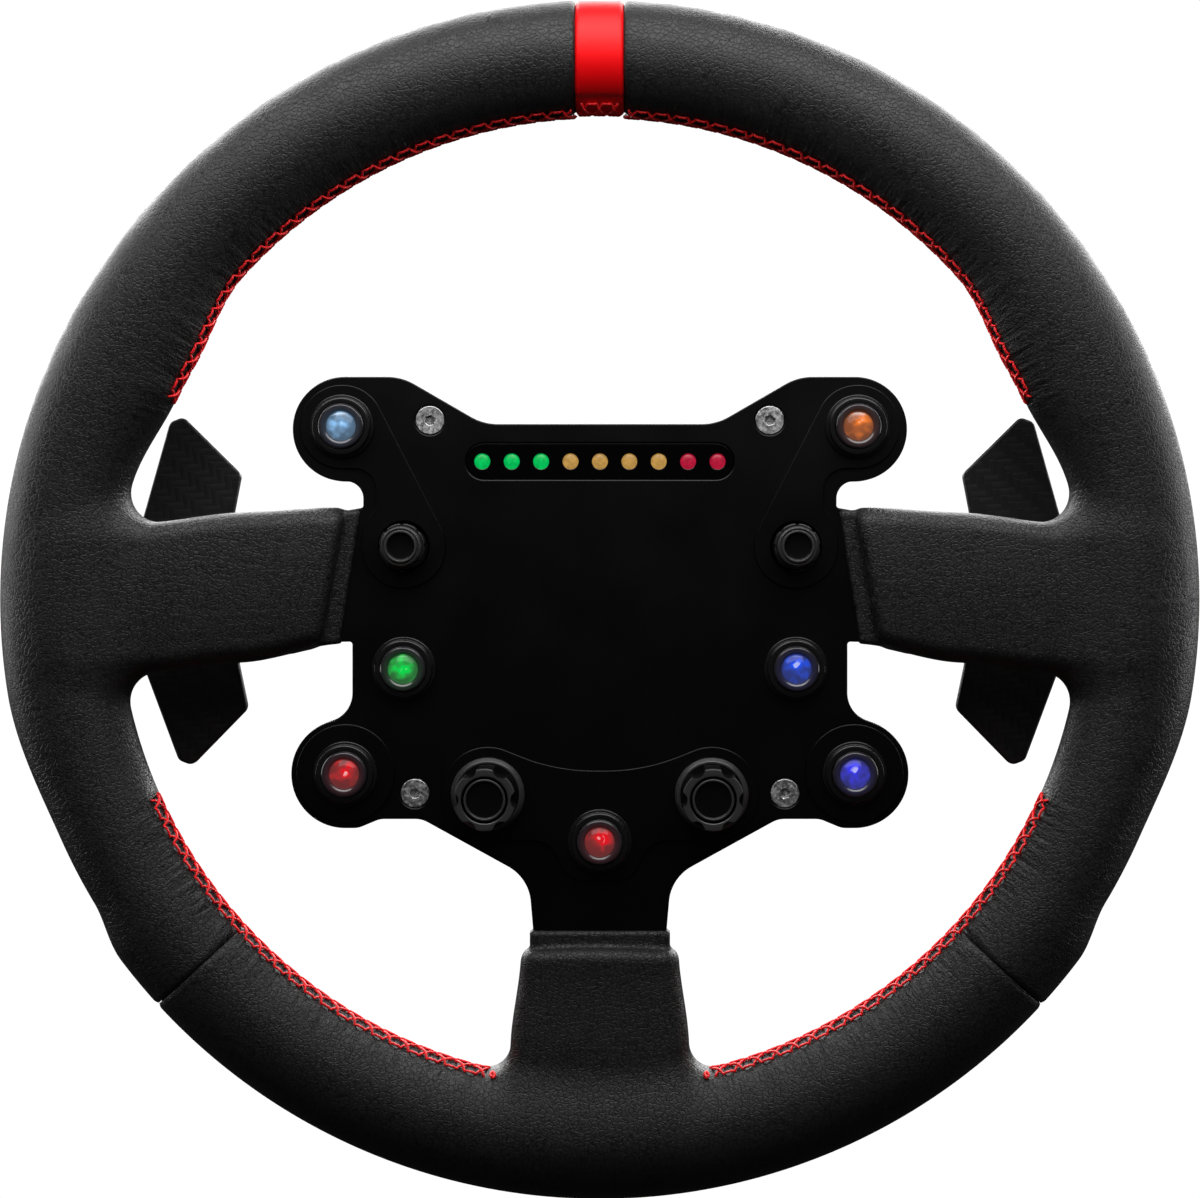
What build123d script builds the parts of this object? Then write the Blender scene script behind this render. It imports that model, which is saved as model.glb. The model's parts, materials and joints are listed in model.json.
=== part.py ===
"""Round racing wheel with a button plate, for a desk-mounted driving game base.

X points right as the driver sees it, Y from the driver to the wheel base, and Z up.
The origin is the centre of the hub adapter's rear face, where a quick release bolts on.
All lengths are in millimetres and all angles in degrees.
"""
from build123d import *
import math
import os

os.makedirs("parts", exist_ok=True)

SIDES = {"left": -1, "right": 1}

# Rim: an oval tube bent into a ring round the Y axis
RIM_RADIUS = 148.8
RIM_HALF_WIDTH = 16.2
RIM_HALF_DEPTH = 14.5
RIM_Y = -42.0
LEATHER = 1.4
CORE_WIDTH = 12.0
CORE_DEPTH = 9.0
SEAM_ANGLE = 47.5
STRIPE_WIDTH = 13.3
STRIPE_GAP = 0.25
STRIPE_SINK = 0.3

# Stitching on the front inner edge of the rim: run ends as angles from +X towards +Z
THREAD_RADIUS = 0.5
THREAD_LIFT = 0.1
THREAD_SECTION_ANGLE = 28.0
THREAD_RUNS = [(24.5, 87.0), (93.0, 155.5), (203.5, 254.5), (285.5, 336.5)]

# Front plate and the padded spokes
PLATE_FRONT = -44.0
PLATE_BACK = -40.0
PAD_RISE = 0.8
SPOKE_HALF_DEPTH = 9.0
COLLAR_THICKNESS = 1.1
BOTTOM_COLLAR = (38.6, 8.2)
BOTTOM_COLLAR_Z = -95.5
SMALLEST_CORNER = 0.4

# Controls: X and Z of each on the right-hand side, or of the single one
BUTTONS = {
    "upper_left": (-70.8, 47.4),
    "upper_right": (70.8, 47.4),
    "middle_left": (-53.9, -19.1),
    "middle_right": (53.9, -19.1),
    "lower_left": (-69.9, -47.8),
    "lower_right": (69.9, -47.8),
    "bottom": (0.0, -66.4),
}
FLUSH_BUTTONS = ("middle_left", "middle_right")
JOYSTICK = (53.9, 14.5)
ENCODER = (30.7, -53.5)
UPPER_SCREW = (46.75, 49.2)
LOWER_SCREW = (50.9, -53.4)

# Raised steps round the controls
UPPER_PAD_RADIUS = 11.5
UPPER_PAD_EDGE = 61.5
UPPER_PAD_BLENDS = ((40.6, 5.0), (23.2, 4.0))
LOWER_PAD_RADIUS = 13.45
ENCODER_PAD_RADIUS = 12.9
BOTTOM_PAD_RADIUS = 11.0
PAD_DIP_RADIUS = 65.0
PAD_DIP_Z = -47.1

# Push button
BUTTON_STEP_RADIUS = 8.8
BUTTON_BEZEL_RADIUS = 7.95
BUTTON_BARREL_RADIUS = 7.0
BUTTON_HOLE_GAP = 0.1
BUTTON_FIT = 0.05
BUTTON_BORE = 6.35
BUTTON_CAP_RADIUS = 6.27
BUTTON_LENS_RADIUS = 4.15
BUTTON_STEP_RISE = 1.0
BUTTON_BEZEL_RISE = 2.8
BUTTON_CAP_RISE = 3.9
BUTTON_CAP_DEPTH = 5.0
BUTTON_FLOOR_DEPTH = 7.2
BUTTON_BODY_DEPTH = 13.2
BUTTON_NUT_RADIUS = 9.7
BUTTON_NUT_THICKNESS = 2.5
BUTTON_EDGE = 0.6
BUTTON_CAP_EDGE = 0.9
BUTTON_POCKET = 4.0
LENS_SINK = 0.3

# Thumb joystick
STICK_HOLE_RADIUS = 7.0
STICK_BASE_WIDTH = 15.0
STICK_BASE_DEPTH = 9.0
STICK_WELL_RADIUS = 6.9
STICK_WELL_DEPTH = 6.0
STICK_YOKE_RADIUS = 6.2
STICK_YOKE_BORE = 4.0
STICK_YOKE_HALF_DEPTH = 1.25
STICK_PIVOT_Y = -37.25
STICK_STEM_RADIUS = 3.0
STICK_STEM_FRONT = -49.0
STICK_STEM_TAIL = 2.0
STICK_CAP_RADIUS = 5.55
STICK_CAP_FRONT = -54.0
STICK_CAP_EDGE = 1.0
STICK_CAP_TRAVEL_ROOM = 0.8
STICK_DISH_DEPTH = 0.8
STICK_DISH_FLOOR = 3.2
STICK_DISH_RADIUS = 3.8
STICK_RING_RADIUS = 4.55
STICK_COLLAR_RADIUS = 6.3
STICK_COLLAR_FRONT = -50.2
STICK_COLLAR_BACK = -46.6

# Rotary encoder
KNOB_SKIRT_RADIUS = 10.1
KNOB_GRIP_RADIUS = 8.05
KNOB_RECESS_RADIUS = 6.35
KNOB_FRONT = -60.5
KNOB_BACK = -45.4
KNOB_SCALLOPS = 6
KNOB_SCALLOP_RADIUS = 1.7
KNOB_SCALLOP_AWAY = 0.9
KNOB_SHAFT_RADIUS = 3.0
KNOB_EDGE = 0.7
KNOB_SKIRT_HEIGHT = 2.2
KNOB_RECESS_DEPTH = 4.2
KNOB_BORE = 2.0
KNOB_BORE_DEPTH = 9.0
KNOB_SHAFT_REACH = 4.5
ENCODER_HOLE = 3.6
ENCODER_BUSH_RADIUS = 3.55
ENCODER_BODY_WIDTH = 13.0
ENCODER_BODY_DEPTH = 8.0
ENCODER_WELL_DEPTH = 5.0
PUSH_CAP_RADIUS = 5.65
PUSH_CAP_RING = 0.6
PUSH_CAP_SLOPE = 0.3
PUSH_CAP_THICKNESS = 2.8
PUSH_CAP_DEPTH = 7.5
RUNNING_GAP = 0.08
KNOB_CLEARANCE = 0.3

# LED strip
STRIP_LENGTH = 73.9
STRIP_HEIGHT = 10.1
STRIP_Z = 37.9
STRIP_GAP = 0.1
STRIP_SINK = 0.4
STRIP_BACK = 3.0
LED_COUNT = 9
LED_RADIUS = 2.15
LED_PITCH = 8.1
LED_GAP = 0.05
LED_SINK = 0.7
LED_TAIL = 0.5
LED_COLOURS = {"green": range(0, 3), "amber": range(3, 7), "red": range(7, 9)}

# Screws, by thread radius
PLATE_SCREW_RADIUS = 2.0
PLATE_SCREW_HEAD_RADIUS = 4.0
PLATE_SCREW_HEAD_DEPTH = 2.2
PLATE_SCREW_LENGTH = 14.0
HEX_SOCKET_FLATS = 2.5
HEX_SOCKET_DEPTH = 1.5
COUNTERSINK_GAP = 0.1
COUNTERSINK_RIM = 0.2
SHANK_GAP = 0.05

# Housing, board and hub
HOUSING_BACK = -12.0
HOUSING_MARGIN = 1.5
HOUSING_WALL = 2.2
HOUSING_FLOOR = 4.0
POST_RADIUS = 3.6
BOARD_MARGIN = 5.2
BOARD_FRONT = -27.0
BOARD_THICKNESS = 1.6
BOARD_POST_GAP = 0.6
CABLE_HOLE = 9.0
PROCESSOR = (0.0, 10.0, 12.0, 12.0, 1.4)
CONNECTOR = (-25.0, -8.0, 9.0, 16.0, 5.0)
HUB_RADIUS = 43.0
HUB_BORE = 16.0
HUB_CIRCLE = 35.0
HUB_HOLE = 2.5
HUB_HOLES = 6
HUB_SCREW_CIRCLE = 24.0
HUB_SCREWS = 6
HUB_TURN = 30.0
HUB_EDGE = 1.0
HUB_SCREW_RADIUS = 2.0
HUB_SCREW_GAP = 0.2
HUB_SCREW_BITE = 3.5
HUB_SCREW_HEAD = 3.5
HUB_SCREW_SEAT = -4.6
HUB_SCREW_TOP = -0.6
HUB_SCREW_SOCKET = 3.0
HUB_COUNTERBORE = 3.8
BLOCK_RADIUS = 15.5
BLOCK_FACE = -6.5
BLOCK_TAIL_RADIUS = 8.8
BLOCK_TAIL = 5.0
CONTACT_RADIUS = 0.9
CONTACT_TIP = -5.0
CONTACT_CIRCLE = 8.0
CONTACTS = 8

# Shift paddles, hinged beside the hub
HINGE_X = 53.0
HINGE_Y = -5.5
HINGE_PIN_RADIUS = 2.0
KNUCKLE_RADIUS = 4.0
KNUCKLE_HALF_HEIGHT = 12.5
EAR_THICKNESS = 4.0
EAR_DEPTH = 9.0
EAR_GAP = 0.4
BRACKET_WIDTH = 11.0
BRACKET_BASE = 2.0
LEVER_FRONT = -7.5
LEVER_BACK = -2.5
LEVER_END = 123.0
LEVER_CORNER = 5.0
BLADE_THICKNESS = 3.0
BLADE_SCREW_X = (112.0, 119.0)
BLADE_SCREW_RADIUS = 1.5
BLADE_SCREW_HEAD = 2.8
BLADE_SCREW_RISE = 1.5

# Room that a cut takes past the face it starts from, and half the size of a cutting block
PAST = 1.0
CUT = 60.0
BLOCK = 260.0


def slab(outline, front, back):
    """A flat piece with this outline in X and Z, between two depths."""
    return extrude(Plane.XZ.offset(-back) * outline, back - front)


def disc(x, z, radius, front, back):
    """A round piece along Y."""
    return slab(Pos(x, z) * Circle(radius), front, back)


def turned(section, x, z):
    """A turned piece: a half section in radius and depth, spun about its own Y axis."""
    face = make_face(Polyline(*section, close=True))
    return Pos(x, 0, z) * revolve(face, Axis.Y)


def inset_corners(corners, inset):
    """These corners (x, z, radius) moved inwards, with their radii made to match."""
    area = 0.0
    for (x1, z1, _), (x2, z2, _) in zip(corners, corners[1:] + corners[:1]):
        area += x1 * z2 - x2 * z1
    turn = 1 if area > 0 else -1
    moved = []
    for index, (x, z, radius) in enumerate(corners):
        before = corners[index - 1]
        after = corners[(index + 1) % len(corners)]
        come = Vector(x - before[0], z - before[1]).normalized()
        go = Vector(after[0] - x, after[1] - z).normalized()
        bend = turn * (come.X * go.Y - come.Y * go.X)
        middle = Vector(come.X + go.X, come.Y + go.Y)
        inward = Vector(-turn * middle.Y, turn * middle.X).normalized()
        reach = inset / (inward.X * -turn * come.Y + inward.Y * turn * come.X)
        new_radius = max(radius - inset, SMALLEST_CORNER) if bend > 0 else radius + inset
        moved.append((x + inward.X * reach, z + inward.Y * reach, new_radius))
    return moved


def rounded_outline(corners, inset=0.0):
    """A closed outline from its corners (x, z, radius)."""
    kept = inset_corners(corners, inset) if inset else corners
    points = [(x, z) for x, z, radius in kept]
    radii = [radius for x, z, radius in kept]
    return make_face(FilletPolyline(*points, radius=radii, close=True))


def mirrored_outline(half, inset=0.0):
    """A closed outline from the corners (x, z, radius) of its right half, top to bottom."""
    left = [(-x, z, radius) for x, z, radius in reversed(half)]
    return rounded_outline(half + left, inset)


def group(solids):
    """Several separate solids as one node."""
    return Compound(children=list(solids))


def save(name, shape):
    """Write one node to its own file."""
    shape.label = name
    export_step(shape, f"parts/{name}.step")


def seat_of(button):
    """The depth of the face that a button's bezel rests on."""
    if button in FLUSH_BUTTONS:
        return PLATE_FRONT
    return PLATE_FRONT - PAD_RISE


UPPER_EDGE = [
    (32.0, 48.2, 15.0),
    (54.5, 61.2, 15.0),
    (84.5, 61.2, 14.3),
    (84.5, 32.4, 14.3),
    (65.1, 32.4, 4.7),
]
LOWER_EDGE = [
    (68.1, -31.4, 8.0),
    (84.9, -37.5, 14.9),
    (84.9, -63.0, 14.8),
    (66.5, -63.0, 6.0),
    (60.5, -60.5, 6.0),
    (49.0, -60.5, 7.0),
    (19.6, -76.7, 12.0),
]
SIDE_ARM = [
    (65.1, 25.2, 0.8),
    (80.0, 22.5, 4.0),
    (150.0, 12.0, 1.0),
    (150.0, -11.0, 1.0),
    (80.0, -12.0, 4.0),
    (68.1, -11.7, 0.8),
]
BOTTOM_ARM = [(18.2, -93.0, 1.0), (17.0, -150.0, 1.0)]


def plate_with_arms():
    """The front plate's outline, with the three arms that run out under the leather."""
    return mirrored_outline(UPPER_EDGE + SIDE_ARM + LOWER_EDGE + BOTTOM_ARM)


def plate_centre(inset):
    """The part of the front plate's outline that stays in sight, this far inside its edge."""
    return mirrored_outline(UPPER_EDGE + LOWER_EDGE + [(18.8, -91.0, 1.0)], inset)


def spoke_outline(side, inset):
    """A padded side spoke, seen from the driver, running out into the rim."""
    corners = [
        (69.8, 25.2, 1.5),
        (104.0, 24.2, 20.0),
        (120.5, 17.5, 7.0),
        (131.0, 36.0, 6.0),
        (143.0, 40.0, 2.0),
        (148.0, 0.0, 20.0),
        (143.0, -36.0, 2.0),
        (129.5, -33.0, 5.0),
        (125.0, -20.4, 6.0),
        (97.5, -18.0, 20.0),
        (77.0, -15.0, 1.5),
    ]
    return rounded_outline([(side * x, z, radius) for x, z, radius in corners], inset)


def bottom_spoke_outline(inset):
    """The padded bottom spoke, seen from the driver."""
    half = [(21.8, -95.5, 1.5), (24.0, -123.5, 6.0), (32.0, -131.0, 4.0), (32.0, -146.0, 1.0)]
    return mirrored_outline(half, inset)


def collar_outline(side):
    """The thin end of a side spoke's leather, against the front plate."""
    corners = [(65.5, 26.3), (74.0, 26.3), (82.0, 24.0), (82.0, -15.0), (77.0, -13.9), (71.6, -12.9)]
    return make_face(Polyline(*[(side * x, z) for x, z in corners], close=True))


def bottom_collar_outline():
    """The thin end of the bottom spoke's leather."""
    return Pos(0, BOTTOM_COLLAR_Z) * Rectangle(*BOTTOM_COLLAR)


def rim_tube(inset):
    """The rim's tube, this far inside the leather's outer face."""
    section = Pos(RIM_RADIUS, RIM_Y) * Ellipse(RIM_HALF_WIDTH - inset, RIM_HALF_DEPTH - inset)
    return revolve(section, Axis.Y)


def grip(inset):
    """The rim with its three padded spokes, this far inside the leather's outer face."""
    outlines = [spoke_outline(side, inset) for side in SIDES.values()]
    outlines.append(bottom_spoke_outline(inset))
    depth = SPOKE_HALF_DEPTH - inset
    body = rim_tube(inset)
    for outline in outlines:
        body += slab(outline, RIM_Y - depth, RIM_Y + depth)
    return body


def plate_blank():
    """The front plate with its arms, cut to fit inside the rim's aluminium ring."""
    blank = slab(plate_with_arms(), PLATE_FRONT, PLATE_BACK)
    return blank & disc(0, 0, RIM_RADIUS - CORE_WIDTH / 2, PLATE_FRONT, PLATE_BACK)


def rim_core():
    """The aluminium ring inside the rim."""
    section = Pos(RIM_RADIUS, RIM_Y) * Rectangle(CORE_WIDTH, CORE_DEPTH)
    return revolve(section, Axis.Y)


def collars():
    """The thin ends of the leather on all three spokes."""
    outlines = [collar_outline(side) for side in SIDES.values()] + [bottom_collar_outline()]
    front = PLATE_FRONT - COLLAR_THICKNESS
    back = PLATE_BACK + COLLAR_THICKNESS
    return [slab(outline, front, back) for outline in outlines]


def bottom_sector():
    """A wedge between the two seams, as deep as the rim."""
    across = BLOCK * math.sin(math.radians(SEAM_ANGLE))
    down = -BLOCK * math.cos(math.radians(SEAM_ANGLE))
    corners = [(0, 0), (across, down), (-across, down)]
    return slab(make_face(Polyline(*corners, close=True)), RIM_Y - CUT, RIM_Y + CUT)


def stripe_zone(half_width):
    """A band across the top of the rim, this wide to either side of the middle."""
    return slab(Pos(0, RIM_RADIUS) * Rectangle(2 * half_width, CUT), RIM_Y - CUT, RIM_Y + CUT)


def leather_skin(foam_shape):
    """The whole leather skin, before it is cut into its pieces."""
    skin = grip(0)
    for collar in collars():
        skin += collar
    return skin - foam_shape - plate_blank()


def leather_half(skin, side):
    """One side's leather, from the centre stripe to the seam low on the rim."""
    half_plane = Pos(side * BLOCK / 2, 0) * Rectangle(BLOCK, 2 * BLOCK)
    keep = slab(half_plane, RIM_Y - CUT, RIM_Y + CUT)
    half = skin & keep
    return half - bottom_sector() - stripe_zone(STRIPE_WIDTH / 2 + STRIPE_GAP)


def centre_stripe():
    """The coloured leather band at the top of the rim."""
    return (rim_tube(STRIPE_SINK) - rim_tube(LEATHER)) & stripe_zone(STRIPE_WIDTH / 2)


def stitch_run(low, high):
    """One run of stitching, laid on the rim's front inner edge."""
    angle = math.radians(THREAD_SECTION_ANGLE)
    lift = THREAD_RADIUS + THREAD_LIFT
    radius = RIM_RADIUS - (RIM_HALF_WIDTH + lift) * math.cos(angle)
    depth = RIM_Y - (RIM_HALF_DEPTH + lift) * math.sin(angle)
    section = Rot(0, -high, 0) * Pos(radius, depth) * Circle(THREAD_RADIUS)
    return revolve(section, Axis.Y, revolution_arc=high - low)


def upper_pad(side):
    """The raised step that links an upper button and a joystick."""
    button_x, button_z = BUTTONS["upper_right"]
    stick_x, stick_z = JOYSTICK
    radius = UPPER_PAD_RADIUS
    edge = UPPER_PAD_EDGE
    away = Vector(stick_x - button_x, stick_z - button_z).normalized()
    inward = Vector(away.Y, -away.X) * radius
    link = make_face(Polyline(
        (button_x + inward.X, button_z + inward.Y),
        (stick_x + inward.X, stick_z + inward.Y),
        (stick_x, stick_z),
        (edge, stick_z + 5),
        (edge, button_z - 3),
        (button_x, button_z),
        close=True,
    ))
    pad = Pos(button_x, button_z) * Circle(radius) + Pos(stick_x, stick_z) * Circle(radius) + link
    for level, blend in UPPER_PAD_BLENDS:
        corner = pad.vertices().sort_by_distance(Vector(edge, level))[0]
        pad = fillet(corner, blend)
    if side < 0:
        pad = mirror(pad, Plane.YZ)
    return pad


def encoder_pad():
    """The raised step round both encoders and the bottom button."""
    encoder_x, encoder_z = ENCODER
    button_x, button_z = BUTTONS["bottom"]
    circles = Pos(button_x, button_z) * Circle(BOTTOM_PAD_RADIUS)
    for side in SIDES.values():
        circles += Pos(side * encoder_x, encoder_z) * Circle(ENCODER_PAD_RADIUS)
    dip = Pos(0, PAD_DIP_Z + PAD_DIP_RADIUS) * Circle(PAD_DIP_RADIUS)
    return make_hull(circles.edges()) - dip


def raised_pads():
    """All the machined steps on the front plate."""
    outlines = [upper_pad(-1), upper_pad(1), encoder_pad()]
    for side in SIDES.values():
        x, z = BUTTONS["lower_right"]
        outlines.append(Pos(side * x, z) * Circle(LOWER_PAD_RADIUS))
    return [slab(outline, PLATE_FRONT - PAD_RISE, PLATE_FRONT) for outline in outlines]


def screw_places():
    """X and Z of the four screws that hold the plate to the housing."""
    spots = (UPPER_SCREW, LOWER_SCREW)
    return [(side * x, z) for x, z in spots for side in SIDES.values()]


def countersink(x, z, gap):
    """The room that a countersunk screw takes in the plate."""
    head = PLATE_SCREW_HEAD_RADIUS + gap
    neck = PLATE_SCREW_RADIUS + gap
    floor = PLATE_FRONT + PLATE_SCREW_HEAD_DEPTH
    section = [
        (0, PLATE_FRONT - CUT),
        (head, PLATE_FRONT - CUT),
        (head, PLATE_FRONT + COUNTERSINK_RIM),
        (neck, floor),
        (neck, PLATE_BACK + PAST),
        (0, PLATE_BACK + PAST),
    ]
    return turned(section, x, z)


def front_plate():
    """The machined front plate with its arms, steps and holes."""
    plate = plate_blank()
    for pad in raised_pads():
        plate += pad
    front = PLATE_FRONT - PAD_RISE - PAST
    back = PLATE_BACK + PAST
    for x, z in BUTTONS.values():
        plate -= disc(x, z, BUTTON_BARREL_RADIUS + BUTTON_HOLE_GAP, front, back)
    for side in SIDES.values():
        plate -= disc(side * JOYSTICK[0], JOYSTICK[1], STICK_HOLE_RADIUS, front, back)
        plate -= disc(side * ENCODER[0], ENCODER[1], ENCODER_HOLE, front, back)
    plate -= slab(Pos(0, STRIP_Z) * SlotOverall(STRIP_LENGTH, STRIP_HEIGHT), front, back)
    for x, z in screw_places():
        plate -= countersink(x, z, COUNTERSINK_GAP)
    return plate


def led_places(numbers):
    """X of each of these LEDs, counted from the left."""
    middle = (LED_COUNT - 1) / 2
    return [(number - middle) * LED_PITCH for number in numbers]


def led_window():
    """The dark strip that the LEDs look out of."""
    slot = SlotOverall(STRIP_LENGTH - 2 * STRIP_GAP, STRIP_HEIGHT - 2 * STRIP_GAP)
    strip = slab(Pos(0, STRIP_Z) * slot, PLATE_FRONT + STRIP_SINK, PLATE_FRONT + STRIP_BACK)
    for x in led_places(range(LED_COUNT)):
        strip -= disc(x, STRIP_Z, LED_RADIUS + LED_GAP, PLATE_FRONT, PLATE_BACK)
    return strip


def leds(numbers):
    """LEDs of one colour, standing in the strip's holes."""
    front = PLATE_FRONT + LED_SINK
    back = PLATE_BACK + LED_TAIL
    return group(disc(x, STRIP_Z, LED_RADIUS, front, back) for x in led_places(numbers))


def plate_screw(x, z):
    """A countersunk screw with a hex socket."""
    head = PLATE_SCREW_HEAD_RADIUS
    neck = PLATE_SCREW_RADIUS - SHANK_GAP
    face = PLATE_FRONT + COUNTERSINK_GAP
    floor = PLATE_FRONT + PLATE_SCREW_HEAD_DEPTH
    end = PLATE_FRONT + PLATE_SCREW_LENGTH
    edge = face + COUNTERSINK_GAP
    section = [(0, face), (head, face), (head, edge), (neck, floor), (neck, end), (0, end)]
    socket = RegularPolygon(HEX_SOCKET_FLATS / 2, 6, major_radius=False)
    return turned(section, x, z) - slab(Pos(x, z) * socket, face - PAST, face + HEX_SOCKET_DEPTH)


def button_bezel(x, z, seat):
    """A push button's bezel and switch body, open to the front."""
    top = seat - BUTTON_BEZEL_RISE
    step = seat - BUTTON_STEP_RISE
    floor = seat + BUTTON_FLOOR_DEPTH
    back = seat + BUTTON_BODY_DEPTH
    section = [
        (BUTTON_BORE, top),
        (BUTTON_BEZEL_RADIUS - BUTTON_EDGE, top),
        (BUTTON_BEZEL_RADIUS, top + BUTTON_EDGE),
        (BUTTON_BEZEL_RADIUS, step),
        (BUTTON_STEP_RADIUS, step),
        (BUTTON_STEP_RADIUS, seat),
        (BUTTON_BARREL_RADIUS, seat),
        (BUTTON_BARREL_RADIUS, back),
        (0, back),
        (0, floor),
        (BUTTON_BORE, floor),
    ]
    return turned(section, x, z)


def button_nut(x, z):
    """The hex nut that holds a push button behind the plate."""
    blank = RegularPolygon(BUTTON_NUT_RADIUS, 6) - Circle(BUTTON_BARREL_RADIUS + BUTTON_FIT)
    return slab(Pos(x, z) * blank, PLATE_BACK, PLATE_BACK + BUTTON_NUT_THICKNESS)


def button_cap(x, z, seat):
    """A push button's moving cap, hollow for its lens."""
    top = seat - BUTTON_CAP_RISE
    pocket = top + BUTTON_POCKET
    back = seat + BUTTON_CAP_DEPTH
    section = [
        (BUTTON_LENS_RADIUS + BUTTON_FIT, top),
        (BUTTON_CAP_RADIUS - BUTTON_CAP_EDGE, top),
        (BUTTON_CAP_RADIUS, top + BUTTON_CAP_EDGE),
        (BUTTON_CAP_RADIUS, back),
        (0, back),
        (0, pocket),
        (BUTTON_LENS_RADIUS + BUTTON_FIT, pocket),
    ]
    return turned(section, x, z)


def button_lens(x, z, seat):
    """The lit lens in the middle of a cap."""
    top = seat - BUTTON_CAP_RISE
    return disc(x, z, BUTTON_LENS_RADIUS, top + LENS_SINK, top + BUTTON_POCKET)


def joystick_base(x, z):
    """The fixed body of a thumb joystick, behind the plate."""
    outline = Pos(x, z) * Rectangle(STICK_BASE_WIDTH, STICK_BASE_WIDTH)
    base = slab(outline, PLATE_BACK, PLATE_BACK + STICK_BASE_DEPTH)
    return base - disc(x, z, STICK_WELL_RADIUS, PLATE_BACK - PAST, PLATE_BACK + STICK_WELL_DEPTH)


def joystick_yoke(x, z):
    """The ring that carries the stem and tilts up and down."""
    ring = Pos(x, z) * (Circle(STICK_YOKE_RADIUS) - Circle(STICK_YOKE_BORE))
    return slab(ring, STICK_PIVOT_Y - STICK_YOKE_HALF_DEPTH, STICK_PIVOT_Y + STICK_YOKE_HALF_DEPTH)


def joystick_stem(x, z):
    """The stem that tilts left and right in the yoke."""
    return disc(x, z, STICK_STEM_RADIUS, STICK_STEM_FRONT, STICK_PIVOT_Y + STICK_STEM_TAIL)


def joystick_cap(x, z):
    """The cap that pushes in along the stem."""
    front = STICK_CAP_FRONT
    pocket = STICK_STEM_FRONT - STICK_CAP_TRAVEL_ROOM
    bore = STICK_STEM_RADIUS + RUNNING_GAP
    section = [
        (0, front + STICK_DISH_DEPTH),
        (STICK_DISH_FLOOR, front + STICK_DISH_DEPTH),
        (STICK_DISH_RADIUS, front),
        (STICK_RING_RADIUS, front),
        (STICK_CAP_RADIUS, front + STICK_CAP_EDGE),
        (STICK_CAP_RADIUS, STICK_COLLAR_BACK),
        (bore, STICK_COLLAR_BACK),
        (bore, pocket),
        (0, pocket),
    ]
    return turned(section, x, z)


def joystick_collar(x, z):
    """The notched ring that spins round the cap."""
    ring = Circle(STICK_COLLAR_RADIUS) - Circle(STICK_CAP_RADIUS + RUNNING_GAP)
    return slab(Pos(x, z) * ring, STICK_COLLAR_FRONT, STICK_COLLAR_BACK)


def encoder_body(x, z):
    """An encoder's fixed body and bushing."""
    outline = Pos(x, z) * Rectangle(ENCODER_BODY_WIDTH, ENCODER_BODY_WIDTH)
    body = slab(outline, PLATE_BACK, PLATE_BACK + ENCODER_BODY_DEPTH)
    body += disc(x, z, ENCODER_BUSH_RADIUS, KNOB_BACK + KNOB_CLEARANCE, PLATE_BACK)
    well = PLATE_BACK + ENCODER_WELL_DEPTH
    return body - disc(x, z, KNOB_SHAFT_RADIUS + RUNNING_GAP, KNOB_BACK - PAST, well)


def encoder_knob(x, z):
    """The scalloped knob with its skirt and shaft."""
    grip_back = KNOB_BACK - KNOB_SKIRT_HEIGHT
    bore = KNOB_BORE + RUNNING_GAP
    shaft_end = PLATE_BACK + KNOB_SHAFT_REACH
    recess = KNOB_FRONT + KNOB_RECESS_DEPTH
    bore_end = KNOB_FRONT + KNOB_BORE_DEPTH
    section = [
        (KNOB_RECESS_RADIUS, KNOB_FRONT),
        (KNOB_GRIP_RADIUS - KNOB_EDGE, KNOB_FRONT),
        (KNOB_GRIP_RADIUS, KNOB_FRONT + KNOB_EDGE),
        (KNOB_GRIP_RADIUS, grip_back),
        (KNOB_SKIRT_RADIUS - KNOB_EDGE, grip_back),
        (KNOB_SKIRT_RADIUS, grip_back + KNOB_EDGE),
        (KNOB_SKIRT_RADIUS, KNOB_BACK),
        (KNOB_SHAFT_RADIUS, KNOB_BACK),
        (KNOB_SHAFT_RADIUS, shaft_end),
        (0, shaft_end),
        (0, bore_end),
        (bore, bore_end),
        (bore, recess),
        (KNOB_RECESS_RADIUS, recess),
    ]
    knob = turned(section, x, z)
    for number in range(KNOB_SCALLOPS):
        angle = math.radians(number * 360 / KNOB_SCALLOPS)
        away = KNOB_GRIP_RADIUS + KNOB_SCALLOP_AWAY
        cut_x = x + away * math.cos(angle)
        cut_z = z + away * math.sin(angle)
        knob -= disc(cut_x, cut_z, KNOB_SCALLOP_RADIUS, KNOB_FRONT - PAST, grip_back)
    return knob


def encoder_cap(x, z):
    """The centre cap of a knob, which pushes in."""
    ring = PUSH_CAP_RADIUS - PUSH_CAP_RING
    sunk = KNOB_FRONT + PUSH_CAP_RING
    under = KNOB_FRONT + PUSH_CAP_THICKNESS
    end = KNOB_FRONT + PUSH_CAP_DEPTH
    section = [
        (0, sunk),
        (ring - PUSH_CAP_SLOPE, sunk),
        (ring, KNOB_FRONT),
        (PUSH_CAP_RADIUS, KNOB_FRONT),
        (PUSH_CAP_RADIUS, under),
        (KNOB_BORE, under),
        (KNOB_BORE, end),
        (0, end),
    ]
    return turned(section, x, z)


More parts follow.
